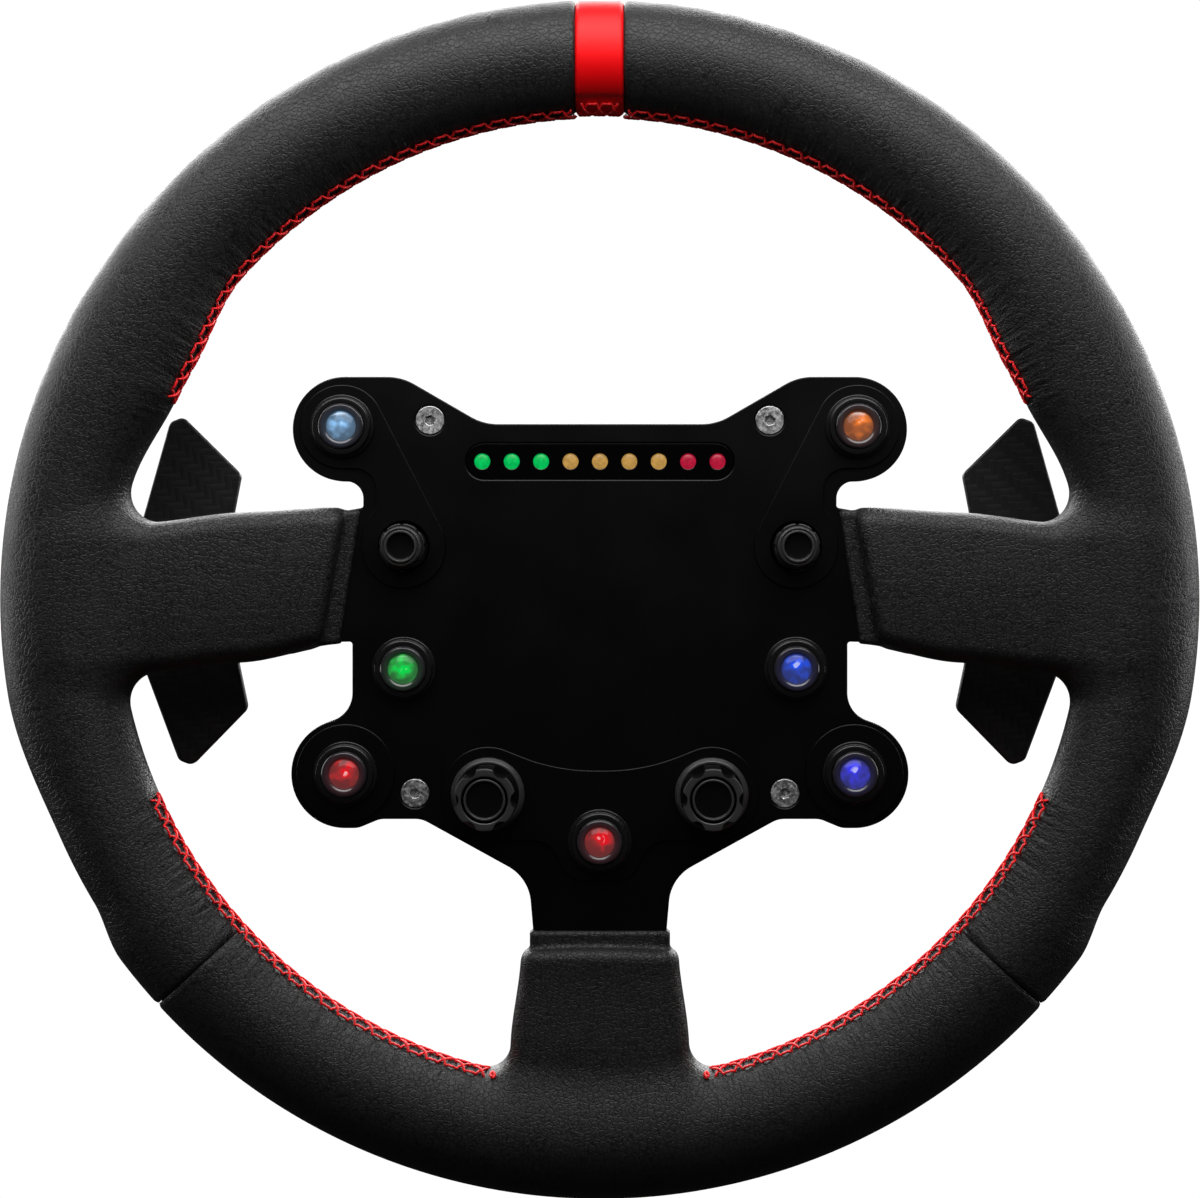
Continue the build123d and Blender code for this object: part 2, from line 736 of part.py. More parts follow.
def rear_housing():
    """The tray behind the plate, with posts for the plate's screws."""
    outer = plate_centre(HOUSING_MARGIN)
    inner = plate_centre(HOUSING_MARGIN + HOUSING_WALL)
    floor = HOUSING_BACK - HOUSING_FLOOR
    tray = slab(outer - inner, PLATE_BACK, floor) + slab(outer, floor, HOUSING_BACK)
    for x, z in screw_places():
        tray += disc(x, z, POST_RADIUS, PLATE_BACK, floor)
    for x, z in screw_places():
        tray -= disc(x, z, PLATE_SCREW_RADIUS, PLATE_BACK - PAST, PLATE_BACK + PLATE_SCREW_LENGTH)
    for x, z in hub_screw_places():
        tray -= disc(x, z, HUB_SCREW_RADIUS, floor - PAST, HOUSING_BACK + PAST)
    tray -= disc(0, 0, CABLE_HOLE, floor - PAST, HOUSING_BACK + PAST)
    return tray


def main_board():
    """The controller board, with its processor and connector."""
    back = BOARD_FRONT + BOARD_THICKNESS
    board = slab(plate_centre(BOARD_MARGIN), BOARD_FRONT, back)
    for x, z in screw_places():
        board -= disc(x, z, POST_RADIUS + BOARD_POST_GAP, BOARD_FRONT - PAST, back + PAST)
    for x, z, width, height, depth in (PROCESSOR, CONNECTOR):
        board += slab(Pos(x, z) * Rectangle(width, height), back, back + depth)
    return board


def circle_places(radius, count, turn):
    """X and Z of holes spaced evenly on a circle."""
    angles = [math.radians(turn + number * 360 / count) for number in range(count)]
    return [(radius * math.cos(angle), radius * math.sin(angle)) for angle in angles]


def hub_screw_places():
    """X and Z of the screws between the hub adapter and the housing."""
    return circle_places(HUB_SCREW_CIRCLE, HUB_SCREWS, 0)


def hub_adapter():
    """The disc that a quick release bolts on to."""
    adapter = disc(0, 0, HUB_RADIUS, HOUSING_BACK, 0)
    adapter = chamfer(adapter.edges().sort_by(Axis.Y)[-1], HUB_EDGE)
    front = HOUSING_BACK - PAST
    adapter -= disc(0, 0, HUB_BORE, front, PAST)
    for x, z in circle_places(HUB_CIRCLE, HUB_HOLES, HUB_TURN):
        adapter -= disc(x, z, HUB_HOLE, front, PAST)
    for x, z in hub_screw_places():
        adapter -= disc(x, z, HUB_SCREW_RADIUS + HUB_SCREW_GAP, front, PAST)
        adapter -= disc(x, z, HUB_COUNTERBORE, HUB_SCREW_SEAT, PAST)
    return adapter


def hub_screw(x, z):
    """A cap screw with a hex socket, from the hub adapter into the housing."""
    screw = disc(x, z, HUB_SCREW_HEAD, HUB_SCREW_SEAT, HUB_SCREW_TOP)
    shank = HUB_SCREW_RADIUS - SHANK_GAP
    screw += disc(x, z, shank, HOUSING_BACK - HUB_SCREW_BITE, HUB_SCREW_SEAT)
    socket = RegularPolygon(HUB_SCREW_SOCKET / 2, 6, major_radius=False)
    return screw - slab(Pos(x, z) * socket, (HUB_SCREW_SEAT + HUB_SCREW_TOP) / 2, 0)


def contact_block():
    """The round block of sprung contacts in the hub's centre."""
    tail = disc(0, 0, BLOCK_TAIL_RADIUS, HOUSING_BACK - BLOCK_TAIL, HOUSING_BACK)
    return disc(0, 0, BLOCK_RADIUS, HOUSING_BACK, BLOCK_FACE) + tail


def contact_pins():
    """The contacts that stand out of the block."""
    places = circle_places(CONTACT_CIRCLE, CONTACTS, 0)
    return group(disc(x, z, CONTACT_RADIUS, BLOCK_FACE, CONTACT_TIP) for x, z in places)


def paddle_bracket(side):
    """The clevis that holds a paddle's pin."""
    x = side * HINGE_X
    inner = KNUCKLE_HALF_HEIGHT + EAR_GAP
    outline = Pos(x, 0) * Rectangle(BRACKET_WIDTH, 2 * (inner + EAR_THICKNESS))
    bracket = slab(outline, HOUSING_BACK, HOUSING_BACK + BRACKET_BASE)
    for end in (-1, 1):
        middle = end * (inner + EAR_THICKNESS / 2)
        bracket += Pos(x, HINGE_Y, middle) * Box(BRACKET_WIDTH, EAR_DEPTH, EAR_THICKNESS)
    return bracket - Pos(x, HINGE_Y, 0) * Cylinder(HINGE_PIN_RADIUS, CUT)


def paddle_pin(side):
    """The steel pin that a paddle's lever turns on."""
    length = 2 * (KNUCKLE_HALF_HEIGHT + EAR_GAP + EAR_THICKNESS)
    return Pos(side * HINGE_X, HINGE_Y, 0) * Cylinder(HINGE_PIN_RADIUS, length)


def paddle_lever(side):
    """The lever between the hinge and the blade."""
    height = 2 * KNUCKLE_HALF_HEIGHT
    middle_y = (LEVER_FRONT + LEVER_BACK) / 2
    lever = Pos(HINGE_X, HINGE_Y, 0) * Cylinder(KNUCKLE_RADIUS, height)
    length = LEVER_END - HINGE_X
    lever += Pos(HINGE_X + length / 2, middle_y, 0) * Box(length, LEVER_BACK - LEVER_FRONT, height)
    ends = lever.edges().filter_by(Axis.Y).group_by(Axis.X)[-1]
    lever = fillet(ends, LEVER_CORNER)
    lever -= Pos(HINGE_X, HINGE_Y, 0) * Cylinder(HINGE_PIN_RADIUS + RUNNING_GAP, CUT)
    for x in BLADE_SCREW_X:
        lever -= disc(x, 0, BLADE_SCREW_RADIUS, LEVER_FRONT - PAST, LEVER_BACK + PAST)
    if side < 0:
        lever = mirror(lever, Plane.YZ)
    return lever


def paddle_blade(side):
    """The carbon fibre blade that the fingers pull."""
    corners = [
        (104.3, 35.5, 3.0),
        (121.0, 52.0, 2.5),
        (125.0, 50.5, 2.5),
        (133.0, 22.0, 12.0),
        (135.0, 0.0, 30.0),
        (132.0, -22.0, 12.0),
        (122.5, -47.5, 2.5),
        (118.5, -49.0, 2.5),
        (102.4, -32.5, 3.0),
        (105.0, -20.0, 10.0),
        (107.0, 0.0, 20.0),
        (106.5, 24.0, 10.0),
    ]
    outline = rounded_outline([(side * x, z, radius) for x, z, radius in corners])
    front = LEVER_FRONT - BLADE_THICKNESS
    blade = slab(outline, front, LEVER_FRONT)
    for x in BLADE_SCREW_X:
        blade -= disc(side * x, 0, BLADE_SCREW_RADIUS, front - PAST, LEVER_FRONT + PAST)
    return blade


def blade_screws(side):
    """The button-head screws through a blade and its lever."""
    front = LEVER_FRONT - BLADE_THICKNESS
    screws = []
    for x in BLADE_SCREW_X:
        shank = disc(side * x, 0, BLADE_SCREW_RADIUS - SHANK_GAP, front, LEVER_BACK)
        head = disc(side * x, 0, BLADE_SCREW_HEAD, front - BLADE_SCREW_RISE, front)
        screws.append(shank + head)
    return group(screws)


def build_rim():
    """The rim: ring, foam, leather, stripe and stitching."""
    foam_shape = grip(LEATHER)
    skin = leather_skin(foam_shape)
    save("rim_core", rim_core())
    save("rim_foam", foam_shape - rim_core() - plate_blank())
    for name, side in SIDES.items():
        save(f"leather_{name}", leather_half(skin, side))
    save("leather_bottom", skin & bottom_sector())
    save("centre_stripe", centre_stripe())
    save("rim_stitching", group(stitch_run(low, high) for low, high in THREAD_RUNS))


def build_plate():
    """The front plate, its LED strip and its screws."""
    save("front_plate", front_plate())
    save("plate_screws", group(plate_screw(x, z) for x, z in screw_places()))
    save("led_window", led_window())
    for colour, numbers in LED_COLOURS.items():
        save(f"leds_{colour}", leds(numbers))


def build_buttons():
    """The seven push buttons."""
    bezels = [button_bezel(x, z, seat_of(name)) for name, (x, z) in BUTTONS.items()]
    save("button_bezels", group(bezels))
    save("button_nuts", group(button_nut(x, z) for x, z in BUTTONS.values()))
    for name, (x, z) in BUTTONS.items():
        seat = seat_of(name)
        save(f"button_cap_{name}", button_cap(x, z, seat))
        save(f"button_lens_{name}", button_lens(x, z, seat))


def build_joysticks():
    """The two thumb joysticks."""
    for name, side in SIDES.items():
        x, z = side * JOYSTICK[0], JOYSTICK[1]
        save(f"joystick_base_{name}", joystick_base(x, z))
        save(f"joystick_yoke_{name}", joystick_yoke(x, z))
        save(f"joystick_stem_{name}", joystick_stem(x, z))
        save(f"joystick_cap_{name}", joystick_cap(x, z))
        save(f"joystick_collar_{name}", joystick_collar(x, z))


def build_encoders():
    """The two rotary encoders."""
    for name, side in SIDES.items():
        x, z = side * ENCODER[0], ENCODER[1]
        save(f"encoder_body_{name}", encoder_body(x, z))
        save(f"encoder_knob_{name}", encoder_knob(x, z))
        save(f"encoder_cap_{name}", encoder_cap(x, z))


def build_back():
    """The housing, its board and the hub."""
    save("rear_housing", rear_housing())
    save("main_board", main_board())
    save("hub_adapter", hub_adapter())
    save("hub_screws", group(hub_screw(x, z) for x, z in hub_screw_places()))
    save("contact_block", contact_block())
    save("contact_pins", contact_pins())


def build_paddles():
    """The two shift paddles."""
    save("paddle_pins", group(paddle_pin(side) for side in SIDES.values()))
    for name, side in SIDES.items():
        save(f"paddle_bracket_{name}", paddle_bracket(side))
        save(f"paddle_lever_{name}", paddle_lever(side))
        save(f"paddle_blade_{name}", paddle_blade(side))
        save(f"paddle_screws_{name}", blade_screws(side))


build_rim()
build_plate()
build_buttons()
build_joysticks()
build_encoders()
build_back()
build_paddles()
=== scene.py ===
"""Looks of the racing wheel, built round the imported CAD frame.

Shapes are worked out in millimetres in the CAD frame, X right, Y away from the driver, Z up,
and turned into metres when a mesh is made.
"""
import json
import math

import bmesh
import bpy
import numpy as np
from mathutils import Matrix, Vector


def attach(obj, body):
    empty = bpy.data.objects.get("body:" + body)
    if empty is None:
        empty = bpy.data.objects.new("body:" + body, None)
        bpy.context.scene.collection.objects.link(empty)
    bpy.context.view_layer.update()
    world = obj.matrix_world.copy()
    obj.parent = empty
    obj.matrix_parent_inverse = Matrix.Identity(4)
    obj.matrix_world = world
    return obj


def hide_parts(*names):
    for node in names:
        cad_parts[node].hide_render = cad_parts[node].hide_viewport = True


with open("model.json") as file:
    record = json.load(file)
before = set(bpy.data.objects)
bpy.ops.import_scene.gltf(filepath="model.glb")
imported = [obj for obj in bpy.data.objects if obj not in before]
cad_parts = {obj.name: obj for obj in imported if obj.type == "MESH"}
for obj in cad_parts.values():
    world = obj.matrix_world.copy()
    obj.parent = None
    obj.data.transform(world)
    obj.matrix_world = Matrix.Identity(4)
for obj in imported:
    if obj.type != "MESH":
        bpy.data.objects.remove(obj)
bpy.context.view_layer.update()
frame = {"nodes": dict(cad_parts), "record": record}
MM = 0.001
SIDES = {"left": -1, "right": 1}

# Rim and plate, as in the CAD model
RIM_RADIUS = 148.8
RIM_Y = -42.0
TUBE_OUTER = 16.2
TUBE_INNER = 15.7
TUBE_DEPTH = 14.5
LEATHER_THICK = 1.4
SEAM_ANGLE = -42.5
STRIPE_HALF = 6.65
PLATE_FRONT = -44.0
PLATE_BACK = -40.0
PAD_RISE = 0.8


# ---- mesh helpers

def link_mesh(name, mesh):
    """A new object with this mesh, in the scene."""
    piece = bpy.data.objects.new(name, mesh)
    bpy.context.scene.collection.objects.link(piece)
    return piece


def mesh_piece(name, points, faces):
    """A smooth mesh object from points in millimetres and lists of corners."""
    mesh = bpy.data.meshes.new(name)
    mesh.from_pydata((np.asarray(points, float) * MM).tolist(), [], faces)
    mesh.validate()
    mesh.shade_smooth()
    return link_mesh(name, mesh)


def quad_mesh(name, points, quads):
    """A large smooth mesh from arrays of points in millimetres and of four-cornered faces."""
    mesh = bpy.data.meshes.new(name)
    mesh.vertices.add(len(points))
    mesh.vertices.foreach_set("co", (points * MM).astype(np.float32).ravel())
    mesh.loops.add(4 * len(quads))
    mesh.loops.foreach_set("vertex_index", quads.astype(np.int32).ravel())
    mesh.polygons.add(len(quads))
    mesh.polygons.foreach_set("loop_start", np.arange(0, 4 * len(quads), 4, dtype=np.int32))
    mesh.update(calc_edges=True)
    mesh.shade_smooth()
    return link_mesh(name, mesh)


def mesh_points(mesh):
    """The mesh's points in millimetres."""
    points = np.empty(len(mesh.vertices) * 3)
    mesh.vertices.foreach_get("co", points)
    return points.reshape(-1, 3) / MM


def sleeve_faces(rows, count):
    """Faces between rows of points that each go round a loop, and one to close each end."""
    faces = []
    for row in range(rows - 1):
        for index in range(count):
            a = row * count + index
            b = row * count + (index + 1) % count
            faces.append((a, b, b + count, a + count))
    faces.append(tuple(reversed(range(count))))
    faces.append(tuple(range(rows * count - count, rows * count)))
    return faces


def fit(piece, body, node, paint):
    """Gives a piece its body, the CAD node that it stands for and its material."""
    piece.data.materials.append(paint)
    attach(piece, body)
    if node:
        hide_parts(node)


# ---- leather: distance field

# The grip's shape, which the CAD model leaves out
THUMB_SWELL = 3.7
GRIP_DIP = 2.75

# The spokes' padding, and the thin collar between it and the plate
PAD_THICK = 6.6
PAD_GAIN = 1.6
PAD_CROWN = 1.3
PAD_ROUND = 5.2
PAD_END_ROUND = 3.0
COLLAR_THICK = 3.15
COLLAR_ROUND = 1.2


def step(value, low, high):
    """Rises smoothly from 0 at low to 1 at high."""
    t = np.clip((value - low) / (high - low), 0, 1)
    return t * t * (3 - 2 * t)


def join_round(a, b, radius):
    """Two distance fields joined with a fillet of this radius."""
    inner = np.hypot(np.maximum(radius - a, 0), np.maximum(radius - b, 0))
    return np.maximum(radius, np.minimum(a, b)) - inner


def cut_round(a, b, radius):
    """What two distance fields share, with its edge rounded to this radius."""
    outer = np.hypot(np.maximum(radius + a, 0), np.maximum(radius + b, 0))
    return np.minimum(-radius, np.maximum(a, b)) + outer


def rounded_bar(u, v, half_u, half_v, radius):
    """Distance to a bar with a rounded rectangle for its section."""
    a = np.abs(u) - (half_u - radius)
    b = np.abs(v) - (half_v - radius)
    outside = np.hypot(np.maximum(a, 0), np.maximum(b, 0))
    return outside + np.minimum(np.maximum(a, b), 0) - radius


def oval(u, v, half_u, half_v):
    """Distance to an oval with these half axes, right near its edge."""
    q = np.hypot(u / half_u, v / half_v)
    slope = np.hypot(u / half_u**2, v / half_v**2)
    return q * (q - 1) / np.maximum(slope, 1e-6)


def swell(angle):
    """How far the thumb rest stands in from the plain tube, by angle up from the side."""
    return THUMB_SWELL * step(angle, 13, 25) * (1 - step(angle, 30, 42))


def dip(angle):
    """How far the low grip is drawn in on the outside, by angle up from the side."""
    return GRIP_DIP * step(angle, -37, -31) * (1 - step(angle, -24, -9))


def tube_field(x, d, z):
    """Distance to the rim's tube. x is measured to either side, d back from its middle plane."""
    angle = np.degrees(np.arctan2(z, x))
    u = np.hypot(x, z) - RIM_RADIUS
    width = np.where(u < 0, TUBE_INNER + swell(angle), TUBE_OUTER - dip(angle))
    depth = TUBE_DEPTH + 0.12 * swell(angle) - 0.15 * dip(angle)
    return oval(u, d, width, depth)


def spoke_field(across, d, half, gain, end, collar):
    """Distance to a padded spoke with a crowned face, and to the thin collar at its end.

    half is its half width, gain how far it has thickened towards the rim, from 0 to 1, and end
    the distance past its end. collar has the collar's across and half width, and the distances
    past its two ends.
    """
    crown = PAD_CROWN * (1 - np.clip(across / half, -1, 1) ** 2)
    bar = rounded_bar(across, d, half, PAD_THICK + crown + PAD_GAIN * gain, PAD_ROUND)
    pad = cut_round(bar, end, PAD_END_ROUND)
    collar_across, collar_half, near_end, far_end = collar
    thin = rounded_bar(collar_across, d, collar_half, COLLAR_THICK, COLLAR_ROUND)
    thin = cut_round(thin, near_end, 0.5)
    thin = cut_round(thin, far_end, 1.0)
    return join_round(pad, thin, 0.9)


def side_spoke_field(x, d, z):
    """Distance to a side spoke. Both its edges drop towards the rim."""
    top = 25.2 - 1.6 * step(x, 74, 108) - 2.6 * step(x, 100, 126)
    bottom = -12.6 - 4.9 * step(x, 70, 100) - 2.6 * step(x, 98, 124)
    half = (top - bottom) / 2
    across = z - (top + bottom) / 2
    end = (x - 69.8) * -0.984 + (z - 24.75) * -0.1765
    collar_end = (x - 65.6) * -0.988 + (z - 26.1) * -0.152
    collar = (across + 0.2, half - 0.5, collar_end, -end - 8)
    return spoke_field(across, d, half, step(x, 80, 130), end, collar)


def bottom_spoke_field(x, d, z):
    """Distance to the bottom spoke, which widens towards the rim."""
    half = 21.7 + 2.9 * step(-z, 96, 124)
    end = z + 95.6 + 0.9 * np.clip(x / half, -1, 1) ** 2
    collar = (x, 19.3, z + 91.2, -z - 104)
    return spoke_field(x, d, half, step(-z, 100, 130), end, collar)


def skin_field(points):
    """Distance to the whole leather skin at points in millimetres."""
    x = np.abs(points[..., 0])
    d = points[..., 1] - RIM_Y
    z = points[..., 2]
    # a spoke only meets the near side of the rim, so it ends inside the tube
    beyond = np.hypot(x, z) - RIM_RADIUS
    side = cut_round(side_spoke_field(x, d, z), beyond, 2.0)
    bottom = cut_round(bottom_spoke_field(x, d, z), beyond, 2.0)
    field = join_round(tube_field(x, d, z), side, 10.5)
    return join_round(field, bottom, 8.5)


def foam_field(points):
    """Distance to the foam, which stops a leather's thickness below the skin."""
    return skin_field(points) + LEATHER_THICK


def stripe_field(points):
    """Distance to the stripe's leather, a little inside the black leather."""
    u = np.hypot(points[..., 0], points[..., 2]) - RIM_RADIUS
    width = np.where(u < 0, TUBE_INNER - 0.45, TUBE_OUTER - 0.2)
    return oval(u, points[..., 1] - RIM_Y, width, TUBE_DEPTH - 0.22)


def field_slope(field, points, reach=0.05):
    """The field and its gradient at these points."""
    here = field(points)
    slope = np.empty_like(points)
    for axis in range(3):
        moved = points.copy()
        moved[:, axis] += reach
        slope[:, axis] = (field(moved) - here) / reach
    return here, slope


def settle(field, points, level=0.0, rounds=3, limit=0.8):
    """Points moved along the field's slope on to the surface at this level."""
    for _ in range(rounds):
        here, slope = field_slope(field, points)
        size = np.maximum((slope**2).sum(1), 0.05)
        move = np.clip((here - level) / size, -limit, limit)
        points = points - move[:, None] * slope
    return points


CELL_CORNERS = np.array([(i, j, k) for i in (0, 1) for j in (0, 1) for k in (0, 1)])
CELL_EDGES = [
    (a, b)
    for a in range(8)
    for b in range(a + 1, 8)
    if np.abs(CELL_CORNERS[a] - CELL_CORNERS[b]).sum() == 1
]


def surface_net(field, low, high, cell):
    """Points and quads of the surface where the field is zero, one point in each cell it crosses."""
    axes = [np.arange(a, b + cell, cell) for a, b in zip(low, high)]
    grid = np.stack(np.meshgrid(*axes, indexing="ij"), -1)
    value = np.stack([field(layer) for layer in grid])
    inside = value < 0
    count = np.zeros(tuple(n - 1 for n in value.shape), np.int8)
    for i, j, k in CELL_CORNERS:
        count += inside[i : i + count.shape[0], j : j + count.shape[1], k : k + count.shape[2]]
    cells = np.argwhere((count > 0) & (count < 8))
    corner = [value[tuple((cells + offset).T)] for offset in CELL_CORNERS]
    total = np.zeros((len(cells), 3))
    hits = np.zeros(len(cells))
    for a, b in CELL_EDGES:
        cross = (corner[a] < 0) != (corner[b] < 0)
        gap = np.where(cross, corner[a] - corner[b], 1)
        t = np.clip(corner[a] / gap, 0, 1)[:, None]
        spot = CELL_CORNERS[a] * (1 - t) + CELL_CORNERS[b] * t
        total += np.where(cross[:, None], spot, 0)
        hits += cross
    points = (cells + total / hits[:, None]) * cell + np.array(low)
    number = np.full(count.shape, -1, np.int32)
    number[tuple(cells.T)] = np.arange(len(cells))
    quads = []
    for axis in range(3):
        b, c = [np.eye(3, dtype=int)[(axis + turn) % 3] for turn in (1, 2)]
        ahead = np.roll(inside, -1, axis)
        change = np.argwhere(inside != ahead)
        keep = (change[:, axis] < value.shape[axis] - 1) & (change[:, (axis + 1) % 3] > 0)
        keep &= change[:, (axis + 2) % 3] > 0
        for other in ((axis + 1) % 3, (axis + 2) % 3):
            keep &= change[:, other] < value.shape[other] - 1
        change = change[keep]
        ring = [change - b - c, change - c, change, change - b]
        quad = np.stack([number[tuple(r.T)] for r in ring], 1)
        leaving = inside[tuple(change.T)]
        quad[~leaving] = quad[~leaving][:, ::-1]
        quads.append(quad)
    return points, np.concatenate(quads)


def relax(points, quads, share=0.5):
    """Points drawn towards the middle of their neighbours."""
    total = np.zeros_like(points)
    count = np.zeros(len(points))
    for a, b in ((0, 1), (1, 2), (2, 3), (3, 0)):
        for one, two in ((a, b), (b, a)):
            np.add.at(total, quads[:, one], points[quads[:, two]])
            np.add.at(count, quads[:, one], 1)
    return points + share * (total / count[:, None] - points)


def net_round_rim(field, cell):
    """Points and quads of the field's surface, in a box that holds the rim."""
    reach = RIM_RADIUS + TUBE_OUTER + 3
    low = (-reach, RIM_Y - 18, -reach)
    high = (reach, RIM_Y + 18, reach)
    points, quads = surface_net(field, low, high, cell)
    return settle(field, points), quads


def build_skin(cell):
    """The whole leather skin as points and quads."""
    points, quads = net_round_rim(skin_field, cell)
    for _ in range(3):
        points = settle(skin_field, relax(points, quads), rounds=1)
    return draw_in(settle(skin_field, points)), quads


OUTER_REACH = 1.6
OUTER_SINK = 0.5


def seam_normal(side):
    """The direction across the low seam on this side, pointing up the rim."""
    angle = math.radians(SEAM_ANGLE)
    return np.array([side * -math.sin(angle), 0.0, math.cos(angle)])


def roll_in(points, spot, normal, inner_reach, inner_sink):
    """Rolls points near a cut edge down towards the foam, in place."""
    away = (points - spot) @ normal
    near = np.abs(away) < 4
    chosen = points[near]
    u = (RIM_RADIUS - np.hypot(chosen[:, 0], chosen[:, 2])) / TUBE_INNER
    inner = step(u, 0.2, 0.9)
    reach = OUTER_REACH + (inner_reach - OUTER_REACH) * inner
    sink = OUTER_SINK + (inner_sink - OUTER_SINK) * inner
    share = np.clip(1 - np.abs(away[near]) / reach, 0, 1) ** 2
    slope = field_slope(skin_field, chosen)[1]
    points[near] = chosen - slope * (sink * share)[:, None]


# Rows of points beside a cut, at these distances, for the leather to roll in on
CUT_ROWS = (3.0, 2.0, 1.3, 0.8, 0.4, 0.0)


def trim(name, skin, planes):
    """The skin on the kept side of every plane, closed where it is cut.

    A plane is (point, normal, reach, sink): the last two say how the leather rolls in at the
    inner edge of the rim.
    """
    piece = quad_mesh(name, *skin)
    shape = bmesh.new()
    shape.from_mesh(piece.data)
    for spot, normal, _, _ in planes:
        centre = Vector(spot * MM)
        across = Vector(normal)
        gone = [v for v in shape.verts if (v.co - centre).dot(across) < -4 * MM]
        bmesh.ops.delete(shape, geom=gone, context="VERTS")
        for away in CUT_ROWS:
            near = [v for v in shape.verts if (v.co - centre).dot(across) < 6 * MM]
            geometry = {part for v in near for part in (*v.link_edges, *v.link_faces)}
            bmesh.ops.bisect_plane(
                shape,
                geom=near + list(geometry),
                dist=1e-8,
                plane_co=(spot + normal * away) * MM,
                plane_no=normal,
                clear_inner=away == 0,
            )
    bmesh.ops.holes_fill(shape, edges=[e for e in shape.edges if e.is_boundary], sides=0)
    shape.to_mesh(piece.data)
    shape.free()
    points = mesh_points(piece.data)
    for spot, normal, reach, sink in planes:
        roll_in(points, spot, normal, reach, sink)
    piece.data.vertices.foreach_set("co", (points * MM).ravel())
    piece.data.shade_smooth()
    piece.data.update()
    return piece


# ---- camera, light and stage

CAMERA_AWAY = 650.0
CAMERA_ASIDE = 11.0
CAMERA_UP = 16.0
VIEW_WIDTH = 331.0
SENSOR = 36.0
# Place, point it faces, width, height and power of each soft rectangular light
LIGHTS = {
    "overhead": ((0, -200, 345), (0, -42, 60), 700, 220, 2.0),
    "upper_front": ((0, -800, 950), (0, -40, 0), 1100, 500, 2.4),
    "high_front": ((0, -760, 430), (0, -42, 60), 900, 380, 0.9),
    "left_wall": ((-800, 150, 250), (0, -40, 60), 500, 800, 4.0),
    "right_wall": ((800, 150, 250), (0, -40, 60), 500, 800, 4.0),
    "behind": ((0, 1500, 1050), (0, -40, 100), 3400, 1700, 130.0),
}
# The room is pale to look at, and throws hardly any light
SKY_SEEN = 0.93
SKY_LIGHT = 0.02
FLOOR_Z = -200.0
FLOOR_FRONT = -2500.0
FLOOR_BACK = 900.0
FLOOR_HALF = 3000.0
CURVE_RADIUS = 400.0
WALL_TOP = 2500.0


def place_camera():
    """A camera square to the wheel's face, a little off its centre, framing the whole rim."""
    data = bpy.data.cameras.new("camera")
    data.sensor_width = SENSOR
    data.lens = SENSOR * CAMERA_AWAY / VIEW_WIDTH
    data.shift_x = -CAMERA_ASIDE / VIEW_WIDTH
    data.shift_y = -CAMERA_UP / VIEW_WIDTH
    camera = bpy.data.objects.new("camera", data)
    camera.location = Vector((CAMERA_ASIDE, RIM_Y - CAMERA_AWAY, CAMERA_UP)) * MM
    camera.rotation_euler = (math.pi / 2, 0, 0)
    bpy.context.scene.collection.objects.link(camera)
    bpy.context.scene.camera = camera


def light_scene():
    """The soft lights, and a pale room that is for the camera more than for the wheel."""
    for name, (place, target, width, height, power) in LIGHTS.items():
        data = bpy.data.lights.new(name, "AREA")
        data.shape = "RECTANGLE"
        data.size = width * MM
        data.size_y = height * MM
        data.energy = power
        lamp = bpy.data.objects.new(name, data)
        lamp.location = Vector(place) * MM
        aim = (Vector(target) - Vector(place)) * MM
        lamp.rotation_euler = aim.to_track_quat("-Z", "Y").to_euler()
        bpy.context.scene.collection.objects.link(lamp)
    world = bpy.data.worlds.new("room")
    world.use_nodes = True
    nodes = world.node_tree.nodes
    links = world.node_tree.links
    seen = nodes.new("ShaderNodeMath")
    seen.operation = "MULTIPLY_ADD"
    seen.inputs[1].default_value = SKY_SEEN - SKY_LIGHT
    seen.inputs[2].default_value = SKY_LIGHT
    links.new(nodes.new("ShaderNodeLightPath").outputs["Is Camera Ray"], seen.inputs[0])
    sky = nodes["Background"]
    sky.inputs["Color"].default_value = (1, 1, 1, 1)
    links.new(seen.outputs[0], sky.inputs["Strength"])
    bpy.context.scene.world = world
    bpy.context.scene.view_settings.view_transform = "Standard"


def build_stage():
    """A white floor that curves up into a white wall. It is seen but throws no light."""
    profile = [(FLOOR_FRONT, FLOOR_Z), (FLOOR_BACK, FLOOR_Z)]
    for a in np.radians(np.linspace(7.5, 90, 12)):
        y = FLOOR_BACK + CURVE_RADIUS * math.sin(a)
        profile.append((y, FLOOR_Z + CURVE_RADIUS * (1 - math.cos(a))))
    profile.append((FLOOR_BACK + CURVE_RADIUS, WALL_TOP))
    points = [(x, y, z) for y, z in profile for x in (-FLOOR_HALF, FLOOR_HALF)]
    faces = [(2 * n, 2 * n + 1, 2 * n + 3, 2 * n + 2) for n in range(len(profile) - 1)]
    sweep = mesh_piece("floor_and_wall", points, faces)
    sweep.visible_diffuse = False
    sweep.visible_glossy = False
    sweep.visible_transmission = False
    sweep.visible_shadow = False
    sweep.data.materials.append(white_stage())


# ---- materials

